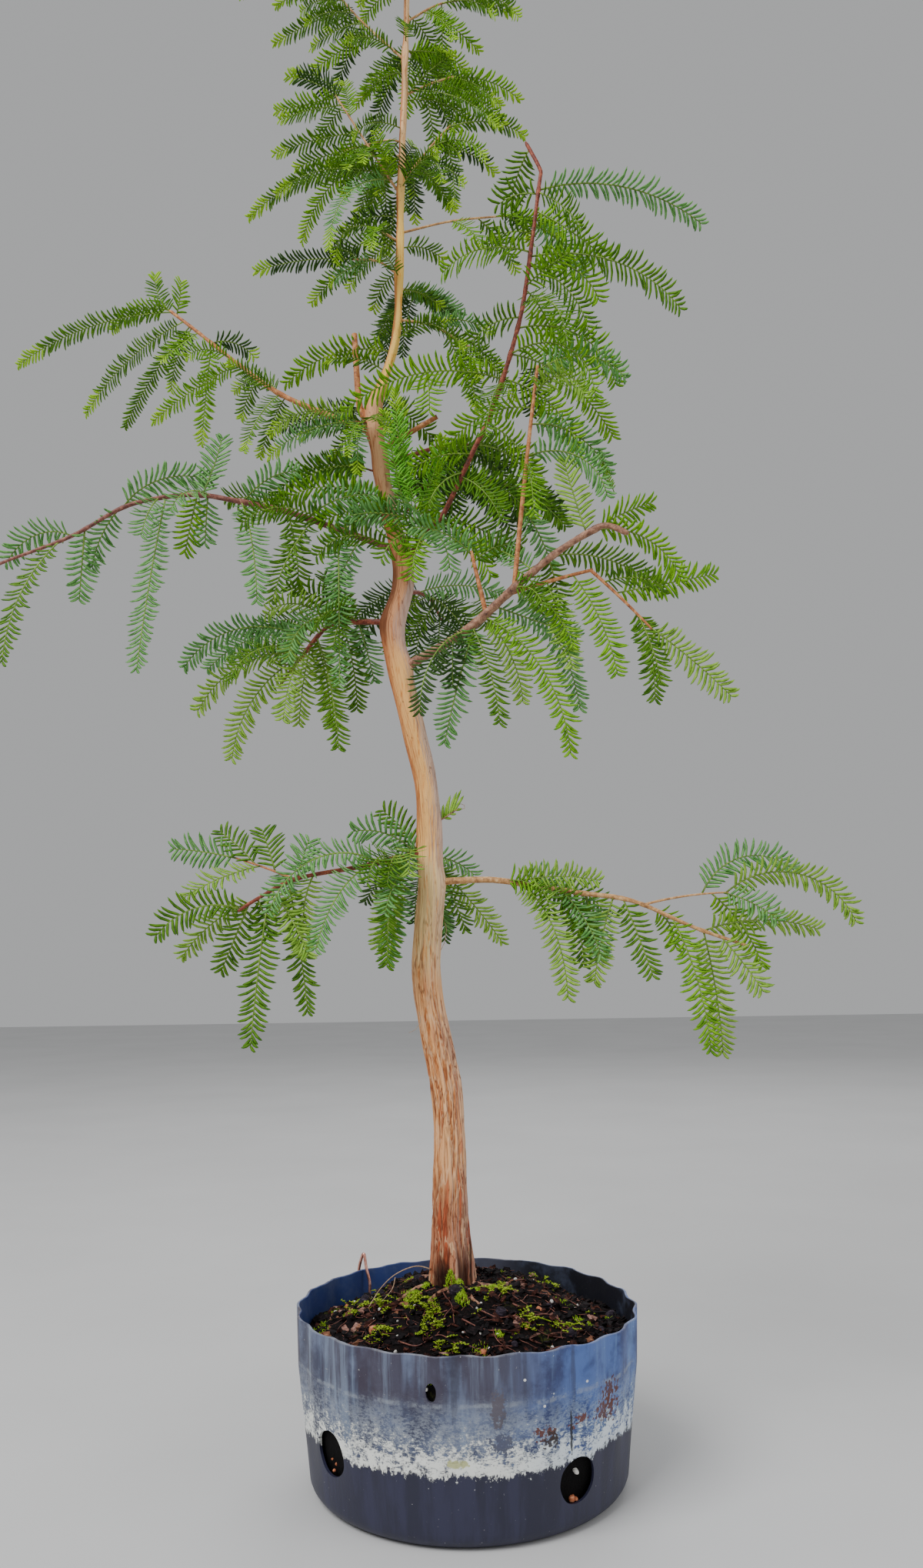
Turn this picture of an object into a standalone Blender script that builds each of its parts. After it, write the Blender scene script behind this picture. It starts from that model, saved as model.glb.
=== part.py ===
"""A bald cypress trained as a bonsai, in a nursery can that was cut down to a low pot.

Metres, +Z up. The origin is the middle of the can's flat underside, and -Y is the side the tree is
seen from. The tree's own sizes are written in millimetres and degrees, as a grower would read them
off with a rule and a protractor, and MM turns them into metres. Headings are compass-like: 0 points
right, 90 away from the viewer, 180 left and 270 towards the viewer. A pitch is the angle above level.

Every limb is one row: where it leaves the trunk, which way it heads, how far it is bare, its
thickness, its route as (run out, rise) pairs, and its shoots. A shoot is a flat spray of needles:
(distance along its stem, heading, pitch, length, sag), where sag is how far the tip has bent down.
A shoot with a sixth entry is a bare twig that carries shoots of its own.
"""
import math
import random
from collections import namedtuple

import bmesh
import bpy
from mathutils import Vector
from mathutils.bvhtree import BVHTree

MM = 0.001
GAP = 0.3 * MM
UP = Vector((0.0, 0.0, 1.0))
VIEWER = Vector((0.0, -1.0, 0.0))

# The can: half of a five-gallon nursery pot, which widens less above its shoulder
RIM_RADIUS = 140 * MM
SHOULDER_RADIUS = 139 * MM
FOOT_RADIUS = 128 * MM
CAN_HEIGHT = 135 * MM
SHOULDER_HEIGHT = 97 * MM
CAN_WALL = 2.2 * MM
WALL_CLEARANCE = 4 * MM
FLOOR_THICKNESS = 3 * MM
CORNER_RADIUS = 12 * MM
FLUTES = 22
FLUTE_DEPTH = 1.5 * MM
STEPS_PER_FLUTE = 3
RIM_WAVE = 0.6 * MM
RIM_DIP = 4 * MM

# Holes through the wall: heading, height of the centre, width
WALL_HOLES = [
    (219, 50, 33),
    (307, 38, 33),
    (259, 110, 11),
    (37, 46, 33),
    (128, 42, 33),
]

# The soil: a mound that rises over the rim to the trunk
SOIL_TOP = 150 * MM
SOIL_EDGE = 113 * MM
SOIL_FLAT = 36 * MM
SOIL_SIDES = 18

# A copper wire that stands on the soil, rises above the rim, and comes down outside with a sideways lean
WIRE_DIAMETER = 2.4 * MM
WIRE_HEADING = 133
WIRE_RISE = 14 * MM
WIRE_DROP = 12 * MM
WIRE_LEAN = 1.5 * MM
WIRE_FOOT = 130 * MM

# The trunk from the soil to the tip of its leader: height, right, away, diameter
TRUNK = [
    (150.3, -12, 0, 36.5),
    (170, -12.4, 0, 35),
    (190, -13.2, 1, 31.8),
    (210, -12.9, 2, 30),
    (245, -12.4, 3, 27.8),
    (290, -13.8, 5, 26.5),
    (320, -17.5, 6, 27.2),
    (350, -23.4, 7, 26),
    (380, -29, 8, 25),
    (410, -31.3, 7.5, 24.8),
    (440, -29.4, 6.5, 24.3),
    (470, -26.6, 5, 24.6),
    (500, -26.5, 3, 21.8),
    (570, -30, -2, 21),
    (641, -45, -6, 21.2),
    (705, -58, -7, 22.2),
    (750, -48.5, -4, 19.8),
    (787, -51, 0, 16.8),
    (825, -62, 4, 14.8),
    (893, -72, 6, 15),
    (922, -76, 5, 18),
    (937, -72, 4, 14),
    (955, -65, 3, 9),
    (994, -54, 1, 7.8),
    (1058, -50, 0, 7.3),
    (1138, -48, 1, 6.6),
    (1221, -45, 2, 5.9),
    (1305, -42, 1, 4.9),
    (1400, -40, 0, 4.0),
]

# How far apart the rings of the trunk, the boughs and their twigs are, and the straight ends where they meet
TRUNK_STEP = 36 * MM
BOUGH_STEP = 24 * MM
STUB_STEP = 12 * MM
STEM_STEP = 36 * MM
TWIG_STEP = 26 * MM
SHOOT_STEP = 12 * MM
JOINT_LENGTH = 3 * MM

# The root flare: how high it starts, how far its ridges stand out, and how many there are
FLARE_HEIGHT = 45 * MM
FLARE_DEPTH = 3.5 * MM
FLARE_ROOTS = 5

# Needles: how far they stand out from a shoot, how far apart the blade's teeth are
NEEDLE = 17 * MM
TOOTH_PITCH = 38 * MM
RIB_HALF = 1.7 * MM
BLADE_THICKNESS = 1.6 * MM
SEED = 7

Limb = namedtuple("Limb", "name height heading bare thick route shoots")

LIMBS = [
    Limb("right_low", 483, 350, 72, (8, 3),
         [(0, 0), (46, 1), (73, -2), (127, -12), (161, -17), (184, -24), (226, -44), (269, -60)],
         [(78, 300, -20, 125, 68), (118, 300, -50, 68, 35), (135, 60, -45, 66, 40),
          (168, 320, -65, 70, 5), (160, 230, -55, 78, 20), (212, 310, -58, 115, 28),
          (240, 50, -66, 105, 20), (255, 330, -48, 55, 10), (240, 352, 20, 95, 40),
          (186, 350, 14, 72, 14,
           [(50, 20, 62, 110, 100), (70, 350, 42, 125, 112), (68, 325, -14, 52, 28),
            (58, 20, -35, 78, 35)])]),
    Limb("left_low", 511, 205, 30, (7, 3),
         [(0, 0), (62, -15), (122, -27), (155, -44), (171, -54)],
         [(178, 200, 20, 75, 75), (170, 150, -62, 60, 0), (162, 35, -60, 32, 20),
          (150, 220, -80, 125, 5), (132, 30, -78, 108, 5), (148, 320, -40, 70, 20),
          (50, 215, 25, 125, 95), (40, 238, -5, 132, 65), (36, 262, -60, 96, 25),
          (124, 60, 70, 36, 10),
          (126, 160, 22, 60, 5,
           [(20, 125, 60, 45, 10), (40, 150, 45, 50, 15), (58, 165, 15, 62, 10),
            (35, 215, -12, 72, 20)])]),
    Limb("back_low", 503, 96, 30, (6, 3),
         [(0, 0), (40, 6), (90, 2), (130, -14)],
         [(34, 345, 0, 48, 45), (36, 318, -68, 70, 8), (40, 332, -50, 78, 20), (44, 350, -42, 104, 14),
          (90, 135, 10, 95, 60), (112, 98, 5, 95, 70), (130, 85, -20, 90, 40)]),
    Limb("left_inner", 716, 165, 34, (7, 3),
         [(0, 0), (32, 3), (62, 2), (90, -26), (110, -50)],
         [(85, 190, 35, 130, 95), (85, 148, 30, 137, 65), (97, 212, 0, 124, 65),
          (97, 228, 15, 100, 80), (92, 255, -30, 95, 50), (100, 200, -30, 120, 55),
          (78, 300, -52, 122, 28), (79, 60, -60, 82, 25), (50, 75, -35, 86, 50),
          (46, 225, 14, 90, 100), (40, 140, 60, 65, 10)]),
    Limb("left_mid", 784, 188, 55, (8, 3),
         [(0, 0), (56, 19), (106, 35), (156, 44), (183, 47), (214, 43), (248, 32), (291, 4),
          (346, -21), (368, -34)],
         [(390, 185, -35, 65, 20), (307, 165, 30, 75, 90), (318, 215, -50, 125, 38),
          (294, 120, -75, 62, 5), (217, 235, -78, 165, 5), (189, 130, -60, 52, 10),
          (150, 300, -50, 115, 35), (108, 60, -62, 75, 30), (60, 280, -80, 150, 5),
          (256, 20, 62, 92, 75), (185, 30, 68, 60, -10), (148, 335, 48, 62, 60),
          (90, 340, 35, 70, 50), (120, 150, 40, 62, 40)]),
    Limb("right_mid", 674, 335, 58, (11, 6),
         [(0, 0), (12, 2), (61, 22), (84, 36), (112, 56), (151, 81), (185, 96), (199, 98), (216, 88)],
         [(72, 225, -20, 104, 70), (84, 200, -70, 112, 8), (78, 300, -50, 104, 30),
          (92, 325, -30, 160, 55), (105, 30, -10, 88, 0), (130, 50, -15, 137, 60),
          (171, 20, 15, 112, 55), (212, 350, 5, 92, 80), (214, 10, 35, 55, 15),
          (205, 150, 72, 70, -5), (150, 130, 42, 120, 30),
          (120, 350, 15, 76, 5,
           [(35, 300, -60, 90, 15), (58, 330, -55, 100, 25),
            (74, 345, -46, 75, 5, [(30, 15, 14, 95, 0), (72, 345, -40, 90, 10), (58, 330, -66, 62, 15)])]),
          (95, 180, 78, 58, 0, [(54, 200, 50, 60, 60), (48, 20, 50, 52, 50)]),
          (128, 0, 84, 205, 2,
           [(120, 330, 10, 100, 90), (150, 20, 15, 90, 80), (178, 300, 20, 90, 90),
            (200, 340, 30, 90, 90), (165, 170, 15, 85, 70), (203, 90, 30, 80, 70)])]),
    Limb("back_mid", 742, 78, 40, (7, 3), [(0, 0), (50, 18), (110, 30), (160, 22)], 9),
    Limb("left_high", 897, 175, 98, (8, 3),
         [(0, 0), (12, 9), (43, 24), (92, 49), (132, 81), (174, 118), (201, 141)],
         [(245, 150, 40, 52, -45), (238, 330, 72, 34, -20), (246, 172, 29, 66, 85),
          (244, 200, -12, 158, 35), (228, 218, -40, 152, 25), (220, 145, -27, 120, 25),
          (209, 228, -45, 60, 5), (192, 120, -72, 95, 5), (156, 205, -35, 106, 15),
          (192, 20, 30, 45, 80), (107, 130, 55, 94, 65), (104, 238, -42, 90, 30)]),
    Limb("back_high", 868, 52, 40, (7, 3), [(0, 0), (50, 30), (110, 62), (150, 72)], 9),
    Limb("back_right", 835, 25, 40, (6, 3), [(0, 0), (45, 22), (95, 36), (140, 34)], 9),
    Limb("right_high", 771, 340, 188, (6, 4),
         [(0, 0), (28, 32), (41, 44), (70, 98), (86, 128), (99, 161), (112, 200), (122, 241),
          (138, 344), (139, 357), (126, 388)],
         [(372, 5, 20, 160, 60), (370, 325, -38, 70, 25), (368, 165, 25, 40, 60),
          (312, 210, 0, 108, 55), (298, 20, 40, 85, 110), (308, 342, 0, 160, 60),
          (191, 192, 14, 158, 62), (215, 320, 11, 130, 100), (215, 42, 15, 150, 60),
          (240, 345, 5, 120, 85), (262, 300, -5, 100, 80), (192, 350, -20, 110, 60),
          (276, 62, 10, 100, 70)]),
    Limb("front_tuft", 911, 222, 0, (3, 2), [(0, 0), (26, -6)],
         [(24, 220, -16, 108, 34), (12, 188, -5, 60, 20), (18, 262, -30, 68, 40)]),
    Limb("back_tuft", 925, 122, 0, (3, 2), [(0, 0), (28, 12)],
         [(28, 145, 10, 100, 10), (20, 110, 30, 80, 40), (14, 62, 20, 70, 40)]),
    Limb("upright_tuft", 808, 317, 0, (3, 2), [(0, 0), (20, 12), (34, 10)],
         [(22, 221, 80, 112, -6), (38, 0, 62, 70, -20), (34, 150, 72, 60, 0)]),
    Limb("front_tuft_low", 817, 270, 0, (2.6, 2), [(0, 0), (14, 2)],
         [(13, 186, 12, 64, 45), (13, 340, -6, 48, 20), (12, 318, -50, 68, 22), (13, 172, 38, 50, 10)]),
    Limb("left_tuft", 862, 192, 0, (2.6, 2), [(0, 0), (14, 3)],
         [(13, 190, 12, 64, 50), (13, 160, 30, 48, 30)]),
    Limb("trunk_twiglet", 534, 350, 0, (2.6, 2.0), [(0, 0), (12, 4), (20, 9), (27, 13)],
         [(17, 350, 75, 24, 0), (26, 350, 60, 22, 0)]),
    Limb("leader_right_low", 1012, 350, 0, (3, 2), [(0, 0), (33, -10), (72, -38)],
         [(20, 325, -20, 70, 40), (45, 15, -10, 70, 40), (80, 345, -40, 70, 30), (60, 305, -40, 68, 30)]),
    Limb("leader_left_low", 1056, 185, 0, (3, 2), [(0, 0), (20, 14), (47, 15)],
         [(46, 190, 0, 95, 25), (30, 215, -30, 60, 20), (35, 150, 0, 70, 40)]),
    Limb("leader_back_low", 1040, 80, 0, (3, 2), [(0, 0), (30, 20), (70, 34)], 5),
    Limb("leader_left_a", 1090, 212, 0, (2.6, 2), [(0, 0), (22, 6)],
         [(20, 215, 10, 80, 110), (12, 170, 0, 60, 40), (14, 248, -10, 56, 60)]),
    Limb("leader_right_a", 1100, 352, 0, (3, 2), [(0, 0), (49, 7), (104, 7)],
         [(50, 318, -30, 60, 40), (75, 35, -20, 60, 40), (103, 350, -10, 55, 30), (100, 308, -35, 55, 30)]),
    Limb("leader_left_b", 1139, 180, 0, (3, 2), [(0, 0), (28, 48), (63, 108)],
         [(28, 182, 10, 145, 60), (24, 205, 5, 125, 58), (50, 150, 5, 115, 80), (20, 222, -20, 132, 70),
          (122, 182, -15, 60, 0), (120, 200, 40, 52, 55), (118, 158, 72, 72, 60), (112, 212, -25, 76, 15),
          (96, 110, 72, 62, 10), (78, 188, -10, 86, 20), (52, 240, -30, 60, 30)]),
    Limb("leader_right_b", 1153, 0, 0, (3, 2), [(0, 0), (30, 39), (48, 60)],
         [(45, 328, 10, 78, 80), (25, 318, -20, 80, 40), (49, 22, 20, 70, 60), (74, 350, 15, 80, 60),
          (22, 48, 10, 60, 60)]),
    Limb("leader_back_mid", 1178, 100, 0, (3, 2), [(0, 0), (30, 26), (60, 44)], 5),
    Limb("leader_left_c", 1196, 172, 0, (2.4, 1.8), [(0, 0), (16, 4), (60, -2)],
         [(22, 140, -15, 62, 35), (58, 178, -12, 50, 15), (40, 215, -30, 56, 30)]),
    Limb("leader_right_c", 1246, 0, 0, (3, 2), [(0, 0), (28, 13), (50, 20)],
         [(12, 332, -20, 116, 38), (26, 28, 35, 85, 60), (34, 350, -20, 88, 40), (52, 2, 5, 70, 50),
          (48, 318, -30, 84, 30)]),
    Limb("leader_left_d", 1283, 180, 0, (3, 2), [(0, 0), (40, 41), (61, 67), (78, 88)],
         [(78, 186, -20, 85, 20), (60, 208, -30, 72, 25), (116, 182, 20, 88, 60), (104, 148, 40, 80, 50),
          (40, 160, 0, 72, 30), (90, 222, -20, 66, 40)]),
    Limb("leader_back_high", 1292, 85, 0, (2.6, 2), [(0, 0), (26, 24), (52, 40)], 5),
    Limb("leader_right_d", 1325, 5, 0, (2.8, 2), [(0, 0), (30, 20), (55, 28)],
         [(58, 350, 15, 72, 80), (20, 312, -35, 76, 35), (26, 30, -10, 62, 20), (42, 328, -10, 75, 50),
          (56, 22, 30, 62, 50)]),
    Limb("leader_left_e", 1362, 200, 0, (2.4, 1.8), [(0, 0), (24, 26), (44, 48)], 4),
    Limb("leader_right_e", 1380, 335, 0, (2.4, 1.8), [(0, 0), (22, 26), (40, 46)], 4),
]

# The growing tip above the trunk: how far it goes on, and the spiral of shoots round it
TIP_LENGTH = 120
TIP_SHOOTS = 8
GOLDEN_ANGLE = 137.5

# Cut stubs: name, height on the trunk, heading, thickness at the foot and at the cut, route
STUBS = [
    ("dead_stub", 912, 178, (6.4, 5.2), [(0, 0), (9, 6), (14, 22), (18, 89)]),
    ("small_stub", 884, 345, (5.4, 4.4), [(0, 0), (20, 9), (57, 26)]),
]


def heading_vector(heading, pitch=0.0):
    """The unit vector of a compass heading and a pitch, both in degrees."""
    h, p = math.radians(heading), math.radians(pitch)
    return Vector((math.cos(p) * math.cos(h), math.cos(p) * math.sin(h), math.sin(p)))


def smooth(points, count):
    """Read count + 1 points off a smooth curve through the given ones, evenly by parameter."""
    padded = [points[0] * 2 - points[1]] + list(points) + [points[-1] * 2 - points[-2]]
    out = []
    for k in range(count + 1):
        t = k * (len(points) - 1) / count
        i = min(int(t), len(points) - 2)
        u = t - i
        a, b, c, d = padded[i:i + 4]
        out.append(0.5 * ((2 * b) + (c - a) * u + (2 * a - 5 * b + 4 * c - d) * u * u
                          + (3 * b - a - 3 * c + d) * u ** 3))
    return out


class Route:
    """A line that can be asked for the point at a distance along it, smooth unless told otherwise."""

    def __init__(self, points, curved=True):
        self.points = smooth(points, 8 * (len(points) - 1)) if curved and len(points) > 2 else points
        self.marks = [0.0]
        for a, b in zip(self.points, self.points[1:]):
            self.marks.append(self.marks[-1] + (b - a).length)
        self.length = self.marks[-1]

    def at(self, distance):
        distance = min(max(distance, 0.0), self.length)
        for i in range(1, len(self.marks)):
            if distance <= self.marks[i] + 1e-9:
                break
        span = self.marks[i] - self.marks[i - 1]
        share = (distance - self.marks[i - 1]) / span
        return self.points[i - 1].lerp(self.points[i], share)

    def marks_between(self, start, end, step):
        """Distances from start to end, about step apart."""
        count = max(1, round((end - start) / step))
        return [start + (end - start) * k / count for k in range(count + 1)]


def trunk_at(height):
    """The trunk's centre and radius at a height."""
    rows = smooth([Vector((z, x, y, d)) for z, x, y, d in TRUNK], 6 * (len(TRUNK) - 1))
    for low, high in zip(rows, rows[1:]):
        if height <= high[0] * MM or high is rows[-1]:
            row = low.lerp(high, min(1.0, (height / MM - low[0]) / (high[0] - low[0])))
            return Vector((row[1], row[2], height / MM)) * MM, row[3] / 2 * MM


def limb_route(limb):
    """A limb's centre line, from the middle of the trunk outwards."""
    foot = trunk_at(limb.height * MM)[0]
    out = heading_vector(limb.heading)
    return Route([foot + (out * run + UP * rise) * MM for run, rise in limb.route])


def shoot_route(start, shoot):
    """A shoot's centre line: it leaves at its pitch and bends down by its sag."""
    heading, pitch, length, sag = shoot[1:5]
    count = max(3, round(length * MM / SHOOT_STEP))
    points = [start]
    for k in range(count):
        lean = max(pitch - sag * (k + 0.5) / count, -88.0)
        points.append(points[-1] + heading_vector(heading, lean) * (length * MM / count))
    return Route(points)


def ruled_shoots(limb, count, rng):
    """Shoots placed by rule: they alternate along the stem, and the far ones are shorter."""
    reach = limb_route(limb).length / MM
    rows = []
    for k in range(count):
        share = (k + 0.6) / count
        side = (-1) ** k * rng.uniform(25, 75) * (1 - 0.55 * share)
        length = rng.uniform(78, 108) * (1 - 0.25 * share)
        along = max(limb.bare + 5, 12) + (reach - max(limb.bare + 5, 12)) * share
        rows.append((along, limb.heading + side, rng.uniform(-20, 30), length, rng.uniform(35, 75)))
    return rows


def limb_shoots(limb):
    """The shoots of a limb: those read off the tree, or as many as the rule is asked for."""
    if isinstance(limb.shoots, int):
        return ruled_shoots(limb, limb.shoots, random.Random(SEED + limb.height))
    return limb.shoots


def flat_side(heading, pitch, rng):
    """The direction that the flat of a spray faces: up, turned a little towards the open side."""
    open_side = VIEWER if math.sin(math.radians(heading)) < 0.35 else -VIEWER
    h = heading_vector(heading)
    natural = UP * math.cos(math.radians(pitch)) - h * math.sin(math.radians(pitch))
    wobble = Vector((rng.uniform(-0.45, 0.45), rng.uniform(-0.3, 0.3), rng.uniform(-0.3, 0.3)))
    return (natural * 0.45 + open_side * 0.9 + wobble).normalized()


def shader(name, color, roughness, metallic=0.0):
    """A plain material with a colour, a roughness and a metallic value."""
    material = bpy.data.materials.new(name)
    material.use_nodes = True
    socket = material.node_tree.nodes["Principled BSDF"].inputs
    socket["Base Color"].default_value = (*color, 1.0)
    socket["Roughness"].default_value = roughness
    socket["Metallic"].default_value = metallic
    return material


def add_object(name, mesh, collection, material=None):
    obj = bpy.data.objects.new(name, mesh)
    collection.objects.link(obj)
    if material:
        mesh.materials.clear()
        mesh.materials.append(material)
    return obj


def evaluated_copy(obj, name, collection, material=None, weld=0.02 * MM):
    """A mesh object made from what the modifiers or the curve of obj give, in place of obj."""
    bpy.context.view_layer.update()
    mesh = bpy.data.meshes.new_from_object(obj.evaluated_get(bpy.context.evaluated_depsgraph_get()))
    matrix = obj.matrix_world.copy()
    bpy.data.objects.remove(obj)
    if weld:
        solid = bmesh.new()
        solid.from_mesh(mesh)
        bmesh.ops.remove_doubles(solid, verts=solid.verts, dist=weld)
        solid.to_mesh(mesh)
        solid.free()
    copy = add_object(name, mesh, collection, material)
    copy.matrix_world = matrix
    return copy


def tube(name, points, radii, collection, material=None, resolution=0):
    """A tapering tube along points, closed at both ends, as a mesh of 4 + 2 * resolution sides."""
    curve = bpy.data.curves.new(name, "CURVE")
    curve.dimensions = "3D"
    curve.bevel_depth = 1.0
    curve.bevel_resolution = resolution
    curve.use_fill_caps = True
    spline = curve.splines.new("POLY")
    spline.points.add(len(points) - 1)
    for point, place, radius in zip(spline.points, points, radii):
        point.co = (*place, 1.0)
        point.radius = radius
    obj = bpy.data.objects.new(name + "_line", curve)
    collection.objects.link(obj)
    return evaluated_copy(obj, name, collection, material)


def twig(name, points, radii, collection):
    """A three-sided tapering twig, drawn with a triangle as the curve's cross-section."""
    section = bpy.data.curves.new(name + "_section", "CURVE")
    section.dimensions = "2D"
    ring = section.splines.new("POLY")
    ring.points.add(2)
    for k, point in enumerate(ring.points):
        angle = -k * math.tau / 3
        point.co = (math.cos(angle), math.sin(angle), 0.0, 1.0)
    ring.use_cyclic_u = True
    guide = bpy.data.objects.new(name + "_section", section)
    collection.objects.link(guide)
    curve = bpy.data.curves.new(name, "CURVE")
    curve.dimensions = "3D"
    curve.bevel_mode = "OBJECT"
    curve.bevel_object = guide
    curve.use_fill_caps = True
    spline = curve.splines.new("POLY")
    spline.points.add(len(points) - 1)
    for point, place, radius in zip(spline.points, points, radii):
        point.co = (*place, 1.0)
        point.radius = radius
    obj = bpy.data.objects.new(name + "_line", curve)
    collection.objects.link(obj)
    copy = evaluated_copy(obj, name, collection)
    bpy.data.objects.remove(guide)
    return copy


def blade(name, route, side_of, collection):
    """A spray of needles as a toothed blade: a narrow rib with a pair of teeth at each step.

    The rib has the full thickness, and each tooth thins from there to a point, as a needle does.
    """
    bare = 0.10 * route.length + 2 * MM
    teeth = max(1, round((route.length - bare) / TOOTH_PITCH))
    span = (route.length - bare) / teeth
    marks = [0.0] + [bare + span * k for k in range(teeth)]
    solid = bmesh.new()
    thick = solid.verts.layers.deform.new()
    rails = []
    sides = []
    for mark in marks:
        ahead = (route.at(mark + 2 * MM) - route.at(mark - 2 * MM)).normalized()
        sides.append(ahead.cross(side_of).normalized())
        rails.append([solid.verts.new(route.at(mark) + sides[-1] * sign * RIB_HALF) for sign in (-1, 1)])
        for edge in rails[-1]:
            edge[thick][0] = 1.0
    end = solid.verts.new(route.at(route.length))
    for k, (near, side) in enumerate(zip(rails, sides)):
        far = rails[k + 1] if k < teeth else (end, end)
        solid.faces.new((near[0], near[1], far[1], far[0]) if k < teeth else (near[0], near[1], end))
        if k == 0:
            continue
        share = (k - 0.5) / teeth
        reach = NEEDLE * (0.62 + 0.38 * math.sin(math.pi * min(1.0, share * 1.15)))
        tip = route.at(marks[k] + span * 0.5 + reach * 0.42)
        for sign, pick in ((-1, 0), (1, 1)):
            point = solid.verts.new(tip + side * sign * reach * 0.9)
            solid.faces.new((near[pick], point, far[pick]))
    bmesh.ops.recalc_face_normals(solid, faces=solid.faces)
    mesh = bpy.data.meshes.new(name)
    solid.to_mesh(mesh)
    solid.free()
    obj = add_object(name, mesh, collection)
    obj.vertex_groups.new(name="rib")
    thicken = obj.modifiers.new("Thickness", "SOLIDIFY")
    thicken.thickness = BLADE_THICKNESS
    thicken.offset = 0.0
    thicken.vertex_group = "rib"
    return evaluated_copy(obj, name, collection)


def surface(obj):
    """The object's faces, ready to be tested against another's."""
    solid = bmesh.new()
    solid.from_mesh(obj.data)
    bmesh.ops.transform(solid, matrix=obj.matrix_world, verts=solid.verts)
    tree = BVHTree.FromBMesh(solid)
    solid.free()
    return tree


def boolean(target, operation, other, name, collection, material, solver="EXACT"):
    """Cut target with other, or join it to the collection other, and apply the result."""
    modifier = target.modifiers.new("Join", "BOOLEAN")
    modifier.operation = operation
    modifier.solver = solver
    if isinstance(other, bpy.types.Collection):
        modifier.operand_type = "COLLECTION"
        modifier.collection = other
    else:
        modifier.object = other
    return evaluated_copy(target, name, collection, material, weld=0.0)


def wall_radius(z):
    """The radius of the can's outer face at a height, with its flutes left out."""
    if z < SHOULDER_HEIGHT:
        return FOOT_RADIUS + (SHOULDER_RADIUS - FOOT_RADIUS) * z / SHOULDER_HEIGHT
    share = (z - SHOULDER_HEIGHT) / (CAN_HEIGHT - SHOULDER_HEIGHT)
    return SHOULDER_RADIUS + (RIM_RADIUS - SHOULDER_RADIUS) * share


def make_can(collection, cutters, material):
    """The cut-down nursery can: a turned wall and floor, fluted, with holes through the wall."""
    wall = (CORNER_RADIUS, SHOULDER_HEIGHT, CAN_HEIGHT)
    profile = [(0.0, FLOOR_THICKNESS), (FOOT_RADIUS - CORNER_RADIUS, FLOOR_THICKNESS)]
    profile += [(wall_radius(z) - CAN_WALL, z) for z in wall]
    profile += [(wall_radius(z), z) for z in reversed(wall)]
    for k in (1, 2):
        angle = math.radians(45 * k)
        profile.append((wall_radius(CORNER_RADIUS) - CORNER_RADIUS * (1 - math.cos(angle)),
                        CORNER_RADIUS * (1 - math.sin(angle))))
    profile.append((0.0, 0.0))
    line = bmesh.new()
    spots = [line.verts.new((r, 0.0, z)) for r, z in profile]
    for a, b in zip(spots, spots[1:]):
        line.edges.new((a, b))
    mesh = bpy.data.meshes.new("can_profile")
    line.to_mesh(mesh)
    line.free()
    obj = add_object("can_profile", mesh, collection)
    turn = obj.modifiers.new("Turn", "SCREW")
    turn.steps = turn.render_steps = FLUTES * STEPS_PER_FLUTE
    turn.use_merge_vertices = True
    turn.merge_threshold = 0.05 * MM
    can = evaluated_copy(obj, "can_turned", collection)
    for vertex in can.data.vertices:
        place = vertex.co
        radius = math.hypot(place.x, place.y)
        if radius < FOOT_RADIUS - CORNER_RADIUS - 1 * MM:
            continue
        angle = math.atan2(place.y, place.x)
        rise = max(0.0, (place.z - CORNER_RADIUS) / (CAN_HEIGHT - CORNER_RADIUS))
        grown = radius + FLUTE_DEPTH * rise * math.cos(FLUTES * angle)
        place.x, place.y = grown * math.cos(angle), grown * math.sin(angle)
        if rise > 0.99:
            place.z += RIM_WAVE * math.cos(FLUTES * angle + 1.0) * math.sin(2 * angle + 0.6)
            place.z -= RIM_DIP * max(0.0, math.cos(angle)) ** 2
    for k, (heading, height, width) in enumerate(WALL_HOLES):
        bpy.ops.mesh.primitive_cylinder_add(vertices=20, radius=width / 2 * MM, depth=60 * MM)
        drill = bpy.context.object
        drill.name = f"hole_cutter_{k}"
        out = heading_vector(heading)
        drill.location = out * wall_radius(height * MM) + UP * height * MM
        drill.rotation_euler = (math.pi / 2, 0.0, math.radians(heading) + math.pi / 2)
        drill.hide_render = True
        drill.display_type = "WIRE"
        for home in list(drill.users_collection):
            home.objects.unlink(drill)
        cutters.objects.link(drill)
        last = k == len(WALL_HOLES) - 1
        can = boolean(can, "DIFFERENCE", drill, "pot" if last else f"can_{k}", collection, material)
    return can


def soil_height(radius):
    """The height of the soil's mound at a distance from the pot's axis."""
    edge = wall_radius(SOIL_EDGE) - WALL_CLEARANCE
    share = min(1.0, max(0.0, (radius - SOIL_FLAT) / (edge - SOIL_FLAT)))
    return SOIL_TOP - (SOIL_TOP - SOIL_EDGE) * (1 - math.cos(math.pi * share)) / 2


def make_soil(collection, material):
    """The filled pot's soil: a turned plug that clears the wall, with a flat place for the trunk."""
    low = FLOOR_THICKNESS + GAP
    edge = wall_radius(SOIL_EDGE) - WALL_CLEARANCE
    profile = [(0.0, SOIL_TOP)]
    for k in range(5):
        radius = SOIL_FLAT + (edge - SOIL_FLAT) * k / 4
        profile.append((radius, soil_height(radius)))
    for z in (SHOULDER_HEIGHT, CORNER_RADIUS):
        profile.append((wall_radius(z) - WALL_CLEARANCE, z + 1 * MM))
    profile += [(FOOT_RADIUS - CORNER_RADIUS - WALL_CLEARANCE, low), (0.0, low)]
    line = bmesh.new()
    spots = [line.verts.new((r, 0.0, z)) for r, z in profile]
    for a, b in zip(spots, spots[1:]):
        line.edges.new((a, b))
    mesh = bpy.data.meshes.new("soil_profile")
    line.to_mesh(mesh)
    line.free()
    obj = add_object("soil_profile", mesh, collection)
    turn = obj.modifiers.new("Turn", "SCREW")
    turn.steps = turn.render_steps = SOIL_SIDES
    turn.use_merge_vertices = True
    turn.merge_threshold = 0.05 * MM
    return evaluated_copy(obj, "soil", collection, material)


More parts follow.
